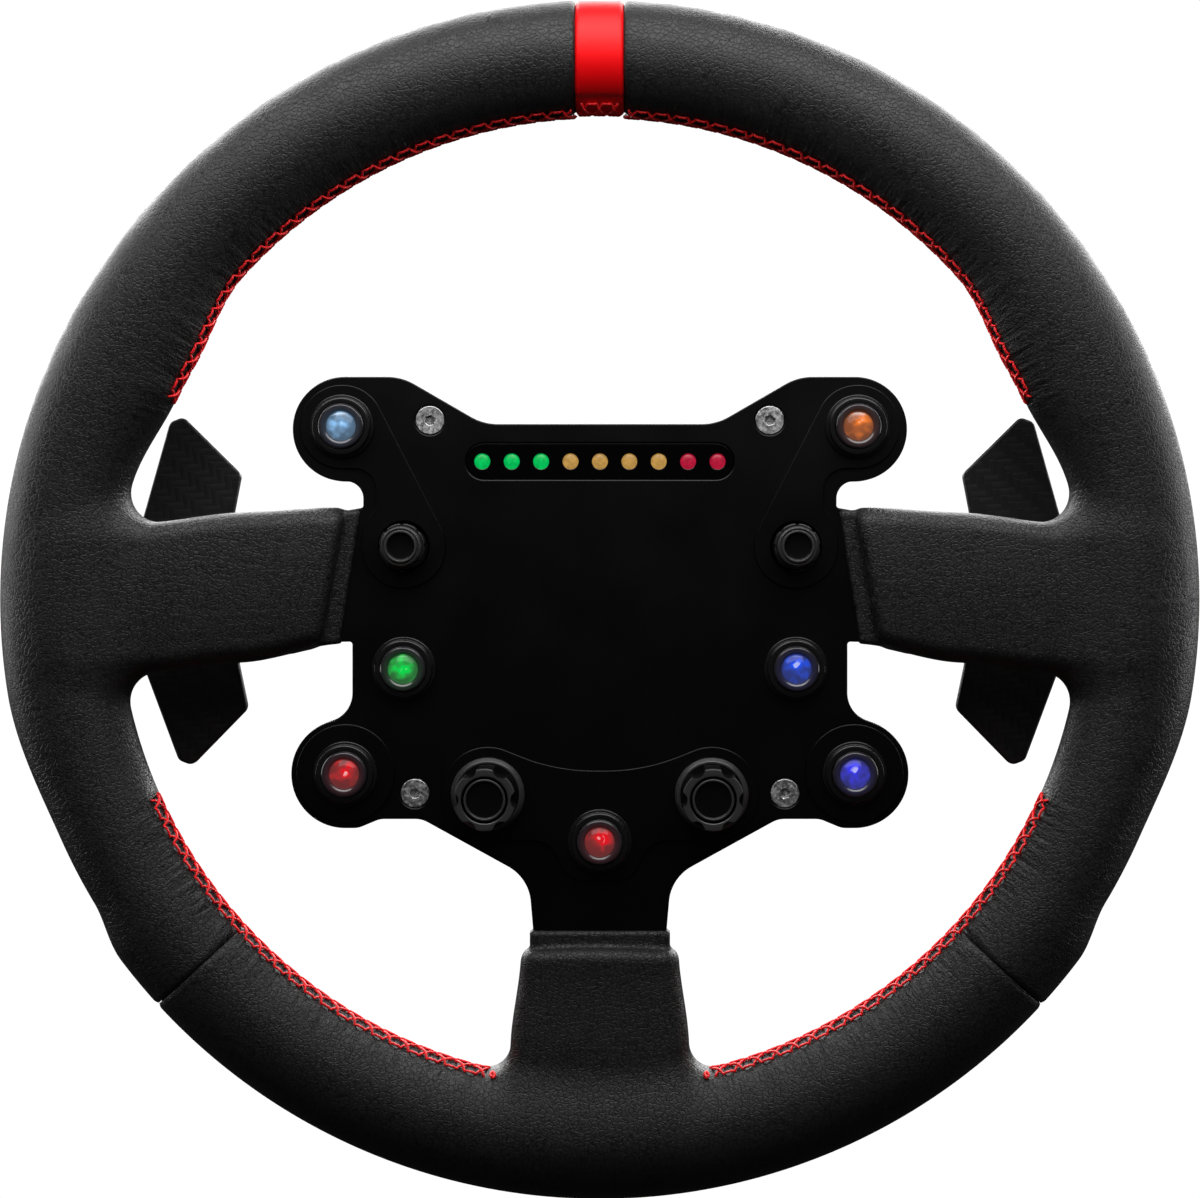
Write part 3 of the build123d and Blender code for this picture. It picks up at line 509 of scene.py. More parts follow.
class Paint:
    """A Principled material and a short way to add nodes to it. Depths are in metres."""

    def __init__(self, name, color, roughness, **sockets):
        self.material = bpy.data.materials.new(name)
        self.material.use_nodes = True
        self.tree = self.material.node_tree
        self.shader = self.tree.nodes["Principled BSDF"]
        self.set("Base Color", (*color, 1))
        self.set("Roughness", roughness)
        for socket, value in sockets.items():
            self.set(socket.replace("_", " "), value)

    def set(self, socket, value):
        """Sets one of the shader's sockets, or links a node's output to it."""
        self.link(value, self.shader.inputs[socket])

    def link(self, value, socket):
        if isinstance(value, bpy.types.NodeSocket):
            self.tree.links.new(value, socket)
        else:
            socket.default_value = value

    def add(self, kind, inputs=None, **settings):
        """A node of this kind. Inputs are named or numbered."""
        node = self.tree.nodes.new("ShaderNode" + kind)
        for key, value in settings.items():
            setattr(node, key, value)
        for key, value in (inputs or {}).items():
            self.link(value, node.inputs[key])
        return node

    def place(self):
        """Where the surface is, in metres, in the CAD frame."""
        return self.add("TexCoord").outputs["Object"]

    def math(self, operation, *values):
        return self.add("Math", dict(enumerate(values)), operation=operation).outputs[0]

    def vector(self, operation, *values, **inputs):
        fields = {**dict(enumerate(values)), **inputs}
        return self.add("VectorMath", fields, operation=operation).outputs[0]

    def noise(self, scale, detail=3.0, roughness=0.5, at=None):
        fields = {"Vector": at or self.place(), "Scale": scale, "Detail": detail}
        fields["Roughness"] = roughness
        return self.add("TexNoise", fields).outputs[0]

    def ramp(self, value, stops):
        """A colour that follows value through stops of (place, colour)."""
        node = self.add("ValToRGB", {0: value})
        band = node.color_ramp
        while len(band.elements) < len(stops):
            band.elements.new(0.5)
        for element, (spot, color) in zip(band.elements, stops):
            element.position = spot
            element.color = (*color, 1)
        return node.outputs[0]

    def range(self, value, low, high, start=0.0, end=1.0):
        """Value from start to end, mapped to low to high."""
        fields = {0: value, 1: start, 2: end, 3: low, 4: high}
        return self.add("MapRange", fields).outputs[0]

    def bump(self, height, depth, strength, under=None):
        """Relief of this depth, on top of another."""
        fields = {"Height": height, "Distance": depth, "Strength": strength}
        if under is not None:
            fields["Normal"] = under
        return self.add("Bump", fields).outputs[0]

    def grain(self, scale, depth, strength=0.5, detail=2.0, roughness=0.6, under=None):
        """Gives the whole surface a fine relief."""
        height = self.noise(scale, detail, roughness)
        self.set("Normal", self.bump(height, depth, strength, under))

    def smear(self, scale, low, high):
        """Makes the surface rougher in some places than in others."""
        self.set("Roughness", self.range(self.noise(scale), low, high, 0.3, 0.7))

    def from_axis(self, x, z, radius):
        """Distance from an axis along Y, as a share of a radius in millimetres."""
        flat = self.vector("MULTIPLY", self.place(), (1, 0, 1))
        fields = {0: flat, 1: (x * MM, 0.0, z * MM)}
        gap = self.add("VectorMath", fields, operation="DISTANCE").outputs["Value"]
        return self.math("DIVIDE", gap, radius * MM)


def grey(value):
    return (value, value, value)


def srgb(*levels):
    """Linear colour from levels of 0 to 255 as a screen shows them."""
    return tuple(((v / 255 + 0.055) / 1.055) ** 2.4 if v > 10 else v / 255 / 12.92 for v in levels)


def white_stage():
    """Plain white that doesn't depend on the lights."""
    paint = Paint("stage_white", grey(0.0), 1.0, Specular_IOR_Level=0.0)
    paint.set("Emission Color", (1, 1, 1, 1))
    paint.set("Emission Strength", 1.05)
    return paint.material


def leather(name, color):
    """Fine leather: shallow grain, soft folds, creases that run in to the stitching, and painted shade in
    the grain's valleys.
    """
    paint = Paint(name, color, 0.45, Specular_IOR_Level=0.3)
    place = paint.place()
    warp = paint.add("TexNoise", {"Vector": place, "Scale": 520.0, "Detail": 2.0}).outputs[1]
    pulled = paint.vector("SUBTRACT", warp, (0.5, 0.5, 0.5))
    bent = paint.vector("ADD", place, paint.vector("SCALE", pulled, Scale=0.0018))
    fields = {"Vector": bent, "Scale": 740.0}
    cells = paint.add("TexVoronoi", fields, feature="DISTANCE_TO_EDGE").outputs["Distance"]
    pebble = paint.range(cells, 0.0, 1.0, 0.0, 0.14)
    folds = paint.noise(130.0, 4.0, 0.55)
    height = paint.math("MULTIPLY_ADD", paint.noise(2400.0, 3.0, 0.6), 0.22, pebble)
    height = paint.math("MULTIPLY_ADD", folds, 1.3, height)
    grain = paint.bump(height, 0.00014, 0.6)
    flow = paint.add("Attribute", attribute_name="flow").outputs["Vector"]
    drawn = paint.add("Attribute", attribute_name="drawn").outputs["Fac"]
    short_crease = paint.noise(720.0, 2.0, at=flow)
    long_crease = paint.noise(260.0, at=flow)
    crease = paint.math("MULTIPLY_ADD", long_crease, 2.2, short_crease)
    crease = paint.math("MULTIPLY", crease, paint.range(drawn, 0.07, 1.0))
    paint.set("Normal", paint.bump(crease, 0.0006, 0.85, grain))
    paint.set("Roughness", paint.range(folds, 0.36, 0.50, 0.3, 0.7))
    # painted shade: the base colour is darker in the grain's valleys, where shade would fall
    shade = paint.math("MULTIPLY_ADD", pebble, 0.72, 0.3)
    fields = {0: 1.0, 6: (*color, 1), 7: shade}
    valley_shaded_color = paint.add("Mix", fields, data_type="RGBA", blend_type="MULTIPLY")
    paint.set("Base Color", valley_shaded_color.outputs[2])
    return paint.material


# ---- leather pieces

SKIN_CELL = 1.0
FOAM_CELL = 3.0
STRIPE_GAP = 0.2
SEAM_GAP = 0.12
# How far the leather rolls in at the inner edge of the rim, and how deep
STRIPE_ROLL = (3.6, 1.3)
SEAM_ROLL = (2.0, 0.8)
# Millimetres a radian round the section: few, so the creases run long that way
CREASE_LENGTH = 2.6


def build_leather():
    """The left, right and bottom leather, cut from one skin."""
    skin = build_skin(SKIN_CELL)
    black = leather("black_leather", grey(0.019))
    low_seams = []
    for name, side in SIDES.items():
        aside = np.array([side, 0.0, 0.0])
        up = seam_normal(side)
        stripe_cut = (aside * (STRIPE_HALF + STRIPE_GAP), aside, *STRIPE_ROLL)
        planes = [stripe_cut, (up * SEAM_GAP, up, *SEAM_ROLL)]
        low_seams.append((-up * SEAM_GAP, -up, *SEAM_ROLL))
        finish_leather(trim(f"leather_{name}_skin", skin, planes), f"leather_{name}", black)
    finish_leather(trim("leather_bottom_skin", skin, low_seams), "leather_bottom", black)


def finish_leather(piece, node, material):
    """Puts a leather piece in the place of its CAD node, and notes how its leather runs."""
    points = mesh_points(piece.data)
    around, section = rim_angles(points)
    flow = [np.radians(around) * THREAD_RING, np.radians(section) * CREASE_LENGTH, 0 * around]
    mark = piece.data.attributes.new("flow", "FLOAT_VECTOR", "POINT")
    mark.data.foreach_set("vector", (np.stack(flow, -1) * MM).astype(np.float32).ravel())
    mark = piece.data.attributes.new("drawn", "FLOAT", "POINT")
    mark.data.foreach_set("value", stitch_nearness(points).astype(np.float32))
    fit(piece, "wheel", node, material)


def build_foam():
    """The grip foam. Only its ends could ever show, so its mesh is coarse."""
    piece = quad_mesh("grip_foam", *net_round_rim(foam_field, FOAM_CELL))
    paint = Paint("foam", grey(0.02), 0.9)
    paint.grain(1500.0, 0.0002, 0.6, 3.0, 0.5)
    fit(piece, "wheel", "rim_foam", paint.material)


# ---- stitching

STITCH_PITCH = 5.4
THREAD_RADIUS = 0.35
THREAD_SIDES = 9
THREAD_TWIST = 2.6
THREAD_RING = 132.0
GROOVE_DEPTH = 0.4
HOLE_DEPTH = 0.32
PUCKER = 0.13
# Low angle, high angle, section angle of the middle, section angle from there to the holes
STITCH_RUNS = [
    (24.5, 87.3, 11.0, 9.0),
    (92.7, 155.5, 11.0, 9.0),
    (203.5, 257.0, 12.0, 9.5),
    (283.0, 336.5, 12.0, 9.5),
]
# The strands of one stitch, as points of (along in pitches, across from -1 to 1 at the holes,
# lift above the leather): two that cross, a bar to the next stitch on either side, and the
# loop that ends the cross
STITCH = [
    [(-0.22, 1.0, -0.35), (-0.154, 0.85, 0.3), (0, 0.35, 0.3), (0.28, -0.4, 0.35), (0.35, -0.6, -0.3)],
    [(0.22, 1.0, -0.35), (0.154, 0.85, 0.3), (0, 0.35, 0.85), (-0.28, -0.4, 0.35), (-0.35, -0.6, -0.3)],
    [(0.22, 0.98, -0.35), (0.32, 1.04, 0.3), (0.5, 1.05, 0.38), (0.68, 1.04, 0.3), (0.78, 0.98, -0.35)],
    [(0.35, -0.62, -0.3), (0.42, -0.66, 0.35), (0.58, -0.66, 0.35), (0.65, -0.62, -0.3)],
    [(-0.46, -1.0, -0.3), (-0.36, -1.03, 0.3), (0, -1.05, 0.35), (0.36, -1.03, 0.3), (0.46, -1.0, -0.3)],
]
BARS = (2, 3)
# Places round the rim of the knots that end the lower runs, and their section angle
KNOTS = (257.6, 282.4)
KNOT_SECTION = 22.0
# The stripe's own run: section angles as above, and pitch
STRIPE_STITCHING = (17.0, 12.0, 4.0)


def rim_angles(points):
    """Angle round the rim, and round its section from the inside towards the driver, in degrees."""
    around = np.degrees(np.arctan2(points[:, 2], points[:, 0])) % 360
    u = (RIM_RADIUS - np.hypot(points[:, 0], points[:, 2])) / TUBE_INNER
    section = np.degrees(np.arctan2((RIM_Y - points[:, 1]) / TUBE_DEPTH, u))
    return around, section


def rim_spots(around, section):
    """Points on the plain tube at these angles in degrees."""
    a = np.radians(around)
    s = np.radians(section)
    radius = RIM_RADIUS - TUBE_INNER * np.cos(s)
    depth = RIM_Y - TUBE_DEPTH * np.sin(s)
    return np.stack([radius * np.cos(a), depth, radius * np.sin(a)], -1)


def pinch(around):
    """How much narrower the upper stitching gets towards the side spokes."""
    away = np.abs(np.asarray(around) - 90.0)
    return 1 - 0.3 * step(away, 42, 62) * (away < 90)


def stitch_nearness(points):
    """1 at the stitching, falling to 0 about 12 mm away from it."""
    around, section = rim_angles(points)
    near = np.zeros(len(points))
    for low, high, middle, spread in STITCH_RUNS:
        along = step(around, low - 4, low + 1) * (1 - step(around, high - 1, high + 4))
        across = 1 - step(np.abs(section - middle), spread, spread + 45)
        near = np.maximum(near, along * across)
    return near


def draw_in(points):
    """The leather pulled down along the stitching, with a pucker at every hole."""
    around, section = rim_angles(points)
    sink = np.zeros(len(points))
    for low, high, middle, spread in STITCH_RUNS:
        along = step(around, low - 1.5, low + 1) * (1 - step(around, high - 1, high + 1.5))
        turn = np.radians(around - (low + high) / 2) * THREAD_RING / STITCH_PITCH
        wave = 0.5 + 0.5 * np.cos(4 * np.pi * turn)
        out = (section - middle * pinch(around)) / (spread * pinch(around))
        groove = GROOVE_DEPTH * np.exp(-((out - 0.1) / 0.35) ** 2)
        holes = HOLE_DEPTH * np.exp(-((out - 1.0) / 0.28) ** 2) * (0.45 + 0.55 * wave)
        pucker = PUCKER * (wave - 0.5) * step(out, 0.9, 1.2) * (1 - step(out, 1.2, 3.2))
        sink += along * (groove + holes + pucker)
    slope = field_slope(skin_field, points)[1]
    return points - sink[:, None] * slope


def stitch_paths(low, high, middle, spread, pitch=STITCH_PITCH):
    """The strands of one run of stitches, each as angles round the rim, section angles and lifts."""
    count = round(math.radians(high - low) * THREAD_RING / pitch)
    turn = (high - low) / count
    paths = []
    for number in range(count):
        start = low + (number + 0.5) * turn
        for index, strand in enumerate(STITCH):
            if number == count - 1 and index in BARS:
                continue
            along, across, lift = np.array(strand).T
            section = (middle + across * spread) * pinch(start)
            paths.append((start + along * turn, section, lift))
    return paths


def smooth_path(points, steps):
    """A curve through these points (Catmull-Rom), with this many steps a span."""
    ends = np.concatenate([[2 * points[0] - points[1]], points, [2 * points[-1] - points[-2]]])
    a, b, c, d = ends[:-3, None], ends[1:-2, None], ends[2:-1, None], ends[3:, None]
    t = np.linspace(0, 1, steps, endpoint=False)[None, :, None]
    curve = b + 0.5 * t * (c - a + t * (2 * a - 5 * b + 4 * c - d + t * (3 * (b - c) + d - a)))
    return np.concatenate([curve.reshape(-1, 3), points[-1:]])


def thread(points):
    """Points and faces of a twisted two-ply thread along a path."""
    ahead = np.gradient(points, axis=0)
    ahead /= np.linalg.norm(ahead, axis=1)[:, None]
    across = np.cross(ahead, (0, 1, 0.15))
    across /= np.linalg.norm(across, axis=1)[:, None]
    over = np.cross(ahead, across)
    run = np.concatenate([[0], np.cumsum(np.linalg.norm(np.diff(points, axis=0), axis=1))])
    turn = np.arange(THREAD_SIDES) * 2 * np.pi / THREAD_SIDES
    ply = 1 + 0.16 * np.cos(2 * (turn[None] + THREAD_TWIST * run[:, None]))
    size = THREAD_RADIUS * ply[..., None]
    ring = np.cos(turn)[None, :, None] * across[:, None] + np.sin(turn)[None, :, None] * over[:, None]
    body = (points[:, None] + size * ring).reshape(-1, 3)
    return body, sleeve_faces(len(points), THREAD_SIDES)


def thread_piece(name, paths, node=None, field=skin_field):
    """All these strands as one piece, lying on the leather."""
    points = []
    faces = []
    count = 0
    for around, section, lift in paths:
        spots = smooth_path(np.stack([around, section, lift], -1), 4)
        laid = settle(field, rim_spots(spots[:, 0], spots[:, 1]), rounds=4, limit=2.0)
        laid = laid + field_slope(field, laid)[1] * spots[:, 2:3]
        body, sides = thread(laid)
        points.append(body)
        faces += [tuple(corner + count for corner in face) for face in sides]
        count += len(body)
    piece = mesh_piece(name, np.concatenate(points), faces)
    fit(piece, "wheel", node, thread_paint())


def knot(around, section):
    """A small knot that ends a run of thread."""
    turn = np.linspace(0, 2.2, 9)
    return (
        around + 0.35 * np.sin(2 * np.pi * turn / 1.1),
        section + 4.0 * np.cos(2 * np.pi * turn / 1.1),
        0.35 + 0.25 * turn,
    )


def build_stitching():
    """The red cross-stitching that closes the leather along the rim's inner edge."""
    paths = [path for run in STITCH_RUNS for path in stitch_paths(*run)]
    paths += [knot(end, KNOT_SECTION) for end in KNOTS]
    thread_piece("rim_cross_stitching", paths, "rim_stitching")


def thread_paint():
    """Waxed red thread."""
    paint = Paint("red_thread", srgb(255, 12, 20), 0.5, Sheen_Weight=0.06)
    paint.grain(5200.0, 0.00006, 0.6)
    return paint.material


# ---- centre stripe

# Points round the stripe's section, and their places across it, closer at the rolled edge
STRIPE_ROWS = 200
STRIPE_PLACES = [1.0, 0.985, 0.95, 0.88, *np.linspace(0.76, 0, 9)]
EDGE_SINK = 1.15
# Section angle of the crease along the stripe's front
CREASE_SECTION = 37.0


def build_stripe():
    """The red leather band over the top of the rim, rolled under at both sides."""
    section = np.arange(STRIPE_ROWS) * 360 / STRIPE_ROWS
    crease = 0.3 * np.exp(-(((section - CREASE_SECTION) / 3.5) ** 2)) + 0.12 * (section < 35)
    places = STRIPE_PLACES + [-place for place in STRIPE_PLACES[-2::-1]]
    points = []
    for place in places:
        ring = rim_spots(np.full(STRIPE_ROWS, 90.0), section)
        ring[:, 0] = place * STRIPE_HALF
        ring = settle(stripe_field, ring, rounds=4, limit=2.0)
        ring[:, 0] = place * STRIPE_HALF
        edge = EDGE_SINK * max(0.0, (abs(place) - 0.8) / 0.2) ** 3
        slope = field_slope(stripe_field, ring)[1]
        points.append(ring - slope * (edge + crease)[:, None])
    faces = sleeve_faces(len(places), STRIPE_ROWS)
    piece = mesh_piece("stripe_leather", np.concatenate(points), faces)
    for polygon in piece.data.polygons[-2:]:
        polygon.use_smooth = False
    paint = Paint("red_leather", srgb(255, 3, 12), 0.45, Specular_IOR_Level=0.25)
    paint.grain(900.0, 0.00008, detail=3.0, roughness=0.55)
    fit(piece, "wheel", "centre_stripe", paint.material)
    half = math.degrees(STRIPE_HALF * 0.9 / THREAD_RING)
    paths = stitch_paths(90 - half, 90 + half, *STRIPE_STITCHING)
    thread_piece("stripe_stitching", paths, field=stripe_field)


# ---- flat and turned pieces

FINE = 0.7
TURNED_FINE = 0.12


def rounded(corners, closed=True, reach=FINE):
    """Points of an outline from its corners (x, z, radius), with an arc at each corner."""
    points = []
    count = len(corners)
    for index, (x, z, radius) in enumerate(corners):
        here = np.array([x, z], float)
        if radius == 0 or (not closed and index in (0, count - 1)):
            points.append(here)
            continue
        come = here - np.array(corners[index - 1][:2])
        go = np.array(corners[(index + 1) % count][:2]) - here
        come /= np.linalg.norm(come)
        go /= np.linalg.norm(go)
        turn = math.acos(np.clip(come @ go, -1, 1))
        if turn < 0.01:
            points.append(here)
            continue
        back = radius * math.tan(turn / 2)
        bend = 1 if come[0] * go[1] - come[1] * go[0] > 0 else -1
        start = here - come * back
        centre = start + bend * radius * np.array([-come[1], come[0]])
        steps = max(2, math.ceil(radius * turn / reach), math.ceil(turn / 0.35))
        first = start - centre
        for step_number in range(steps + 1):
            a = bend * turn * step_number / steps
            spin = np.array([[math.cos(a), -math.sin(a)], [math.sin(a), math.cos(a)]])
            points.append(centre + spin @ first)
    return np.array(points)


def mirrored(half):
    """Corners of a whole outline from those of its right half, top to bottom."""
    return half + [(-x, z, radius) for x, z, radius in reversed(half)]


def circle(x, z, radius, count=72, phase=0.0):
    """Points on a circle."""
    a = np.arange(count) * 2 * math.pi / count + phase
    return np.stack([x + radius * np.cos(a), z + radius * np.sin(a)], -1)


def slot_outline(x, z, length, height):
    """Points of a slot with round ends."""
    a = length / 2
    b = height / 2
    return rounded([(x - a, z - b, b), (x + a, z - b, b), (x + a, z + b, b), (x - a, z + b, b)])


def outward(outline):
    """Unit vectors out of a closed outline at each of its points."""
    along = np.roll(outline, -1, 0) - np.roll(outline, 1, 0)
    along /= np.linalg.norm(along, axis=1)[:, None]
    x, z = outline.T
    area = (x * np.roll(z, -1) - np.roll(x, -1) * z).sum()
    return np.stack([along[:, 1], -along[:, 0]], -1) * (1 if area > 0 else -1)


def eased(ease):
    """Inset and setback at each step of an eased edge, from the face round to the wall."""
    if ease == 0:
        return [(0.0, 0.0)]
    angles = [0, math.pi / 6, math.pi / 3, math.pi / 2]
    return [(ease * (1 - math.sin(a)), ease * (1 - math.cos(a))) for a in angles]


def add_slab(shape, outline, holes, front, back, ease, ease_back=0.0):
    """Adds a flat piece with eased edges to a bmesh. Outlines are in X and Z."""
    levels = [(front + y, inset) for inset, y in eased(ease)]
    levels += [(back - y, inset) for inset, y in reversed(eased(ease_back))]
    faces_front = []
    faces_back = []
    for loop, sign in [(outline, -1), *[(hole, 1) for hole in holes]]:
        normal = outward(loop) * sign
        rings = []
        for depth, inset in levels:
            ring = loop + normal * inset
            rings.append([shape.verts.new((x * MM, depth * MM, z * MM)) for x, z in ring])
        for one, two in zip(rings, rings[1:]):
            for index in range(len(loop)):
                after = (index + 1) % len(loop)
                shape.faces.new((one[index], one[after], two[after], two[index])).smooth = True
        faces_front.append(rings[0])
        faces_back.append(rings[-1])
    for rings in (faces_front, faces_back):
        edges = []
        for ring in rings:
            for index, vertex in enumerate(ring):
                edges.append(shape.edges.get((vertex, ring[(index + 1) % len(ring)])))
        made = bmesh.ops.triangle_fill(shape, edges=edges, use_beauty=True)
        for face in made["geom"]:
            if isinstance(face, bmesh.types.BMFace):
                face.smooth = False


def slab_piece(name, slabs):
    """One piece from several slabs, each (outline, holes, front, back, ease, ease_back)."""
    shape = bmesh.new()
    for slab in slabs:
        add_slab(shape, *slab)
    bmesh.ops.recalc_face_normals(shape, faces=shape.faces)
    mesh = bpy.data.meshes.new(name)
    shape.to_mesh(mesh)
    shape.free()
    return link_mesh(name, mesh)


def turned(name, corners, x, z, front=0.0, count=96, shape_at=None):
    """A turned piece about an axis along Y through (x, z).

    Corners are (radius, depth behind front, rounding) from the front middle to the back middle.
    shape_at takes angles, radii and a depth and returns new radii, for a piece that isn't
    quite round.
    """
    profile = rounded(corners, closed=False, reach=TURNED_FINE)
    gaps = np.linalg.norm(np.diff(profile, axis=0), axis=1)
    profile = profile[np.concatenate([[True], gaps > 1e-5])]
    a = np.arange(count) * 2 * math.pi / count
    points = []
    rows = []
    for radius, depth in profile:
        depth += front
        if radius < 1e-6:
            rows.append([len(points)])
            points.append((x, depth, z))
            continue
        size = np.full(count, radius)
        if shape_at:
            size = shape_at(a, size, depth)
        rows.append(list(range(len(points), len(points) + count)))
        points += list(zip(x + size * np.cos(a), np.full(count, depth), z + size * np.sin(a)))
    faces = []
    for one, two in zip(rows, rows[1:]):
        for index in range(count):
            after = (index + 1) % count
            if len(one) == 1 and len(two) == 1:
                continue
            if len(one) == 1:
                faces.append((one[0], two[index], two[after]))
            elif len(two) == 1:
                faces.append((one[index], two[0], one[after]))
            else:
                faces.append((one[index], two[index], two[after], one[after]))
    piece = mesh_piece(name, points, faces)
    piece.data.set_sharp_from_angle(angle=math.radians(50))
    return piece


# ---- plate, LED strip and screws

# Corners of outlines are (x, z, rounding)
UPPER_EDGE = [
    (32.0, 48.2, 15.0), (54.5, 61.2, 15.0), (84.5, 61.2, 14.3), (84.5, 32.4, 14.3), (65.1, 32.4, 4.7),
]
SIDE_ARM = [
    (65.1, 25.2, 0.8), (80.0, 22.5, 4.0), (138.0, 13.7, 1.0),
    (138.0, -11.2, 1.0), (80.0, -12.0, 4.0), (68.1, -11.7, 0.8),
]
LOWER_EDGE = [
    (68.1, -31.4, 8.0), (84.9, -37.5, 14.9), (84.9, -63.0, 14.8), (66.5, -63.0, 6.0), (60.5, -60.5, 6.0),
    (49.0, -60.5, 7.0), (19.6, -76.7, 12.0), (18.2, -93.0, 1.0), (17.2, -138.0, 1.0),
]
UPPER_PAD = [
    (63.8, 58.9, 11.4), (82.3, 58.9, 11.4), (82.3, 35.9, 11.4), (61.5, 35.9, 6.0), (61.5, 25.0, 3.0),
    (65.4, 20.6, 11.4), (65.4, 3.0, 11.4), (42.4, 3.0, 11.4), (42.4, 17.3, 11.4),
]
ENCODER_PAD = [
    (12.1, -47.1, 55.0), (43.6, -34.4, 12.85), (43.6, -66.35, 12.85), (13.5, -66.35, 7.0), (9.0, -77.4, 7.5),
]
BUTTONS = {
    "upper_left": (-70.8, 47.4, "white"),
    "upper_right": (70.8, 47.4, "orange"),
    "middle_left": (-53.9, -19.1, "green"),
    "middle_right": (53.9, -19.1, "blue"),
    "lower_left": (-69.9, -47.8, "red"),
    "lower_right": (69.9, -47.8, "violet"),
    "bottom": (0.0, -66.4, "red"),
}
FLUSH_BUTTONS = ("middle_left", "middle_right")
BUTTON_BORE = 7.1
LOWER_PAD = 13.45
JOYSTICK = (53.9, 14.5)
JOYSTICK_BORE = 7.0
ENCODER = (30.7, -53.5)
ENCODER_BORE = 3.6
SCREWS = [(side * x, z) for x, z in ((46.75, 49.2), (50.9, -53.4)) for side in (-1, 1)]
SCREW_BORE = 4.12
SCREW_HEAD = 3.98
SCREW_SHANK = 2.4
SOCKET_DEPTH = 1.4
SOCKET_TURN = 0.3
HEX_HALF = 1.25
STRIP_LENGTH = 73.9
STRIP_HEIGHT = 10.1
STRIP_Z = 37.9
LED_PITCH = 8.1
LED_BORE = 2.2
LEDS = {"green": range(3), "amber": range(3, 7), "red": range(7, 9)}
# Corners of turned profiles are (radius, depth behind the front, rounding)
LED = [(0, -0.25, 0), (1.3, -0.16, 2.5), (2.15, 0.25, 0.4), (2.15, 3.3, 0), (0, 3.3, 0)]


def raised(outline, holes):
    """A low machined step on the plate's face."""
    return outline, holes, PLATE_FRONT - PAD_RISE, PLATE_FRONT + 0.1, 0.22, 0.0


def build_plate():
    """The machined plate with its raised steps, as one piece."""
    buttons = {name: circle(x, z, BUTTON_BORE) for name, (x, z, _) in BUTTONS.items()}
    sticks = {side: circle(side * JOYSTICK[0], JOYSTICK[1], JOYSTICK_BORE) for side in SIDES.values()}
    shafts = {side: circle(side * ENCODER[0], ENCODER[1], ENCODER_BORE) for side in SIDES.values()}
    holes = list(buttons.values())
    for side in SIDES.values():
        holes += [sticks[side], shafts[side]]
    holes += [circle(x, z, SCREW_BORE) for x, z in SCREWS]
    holes.append(slot_outline(0, STRIP_Z, STRIP_LENGTH, STRIP_HEIGHT))
    outline = rounded(mirrored(UPPER_EDGE + SIDE_ARM + LOWER_EDGE))
    slabs = [(outline, holes, PLATE_FRONT, PLATE_BACK, 0.35, 0.2)]
    for name, side in SIDES.items():
        pad = rounded([(side * x, z, radius) for x, z, radius in UPPER_PAD])
        slabs.append(raised(pad, [buttons[f"upper_{name}"], sticks[side]]))
        x, z, _ = BUTTONS[f"lower_{name}"]
        slabs.append(raised(circle(x, z, LOWER_PAD, 110), [buttons[f"lower_{name}"]]))
    slabs.append(raised(rounded(mirrored(ENCODER_PAD)), [*shafts.values(), buttons["bottom"]]))
    fit(slab_piece("button_plate", slabs), "wheel", "front_plate", plate_paint())


def build_strip():
    """The dark strip and its nine LEDs."""
    places = [(number - 4) * LED_PITCH for number in range(9)]
    holes = [circle(x, STRIP_Z, LED_BORE, 40) for x in places]
    outline = slot_outline(0, STRIP_Z, STRIP_LENGTH - 0.2, STRIP_HEIGHT - 0.2)
    strip = slab_piece("led_strip", [(outline, holes, PLATE_FRONT + 0.4, PLATE_FRONT + 3, 0.15, 0.0)])
    fit(strip, "wheel", "led_window", gloss_black("strip_black", 0.0006, 0.1))
    for color, numbers in LEDS.items():
        for number in numbers:
            led = turned(f"led_{number + 1}", LED, places[number], STRIP_Z, PLATE_FRONT + 0.7, 40)
            fit(led, "wheel", f"leds_{color}", led_paint(color))


def build_screws():
    """Countersunk screws with turned faces and hex sockets."""
    steel = screw_paint()
    face = PLATE_FRONT + 0.1
    for number, (x, z) in enumerate(SCREWS):
        socket = circle(x, z, HEX_HALF / math.cos(math.pi / 6), 6, SOCKET_TURN)
        floor = face + SOCKET_DEPTH - 0.1
        slabs = [
            (circle(x, z, SCREW_HEAD), [socket], face, face + SOCKET_DEPTH, 0.25, 0.0),
            (circle(x, z, SCREW_SHANK, 32), [], floor, PLATE_FRONT + 14.0, 0.0, 0.0),
        ]
        screw = slab_piece(f"plate_screw_{number + 1}", slabs)
        fit(screw, "wheel", "plate_screws", steel)


# ---- controls

# Depths are behind the face that the button stands on
BEZEL = [
    (6.33, 0.4, 0), (6.33, -2.8, 0.22), (7.95, -2.8, 0.55), (7.95, -1.0, 0.15), (8.8, -1.0, 0.3),
    (8.8, 0, 0), (7.0, 0, 0), (7.0, 13.2, 0.4), (0, 13.2, 0),
]
BUTTON_CAP = [
    (0, -2.8, 0), (4.2, -2.8, 0.1), (4.2, -3.55, 0.12), (4.75, -3.9, 0.5), (5.75, -3.9, 0.4),
    (6.25, -3.3, 0.25), (6.25, 5.0, 0), (0, 5.0, 0),
]
LENS = [(0, -3.85, 0), (2.4, -3.7, 5.0), (4.12, -3.05, 0.6), (4.12, 0.1, 0), (0, 0.1, 0)]
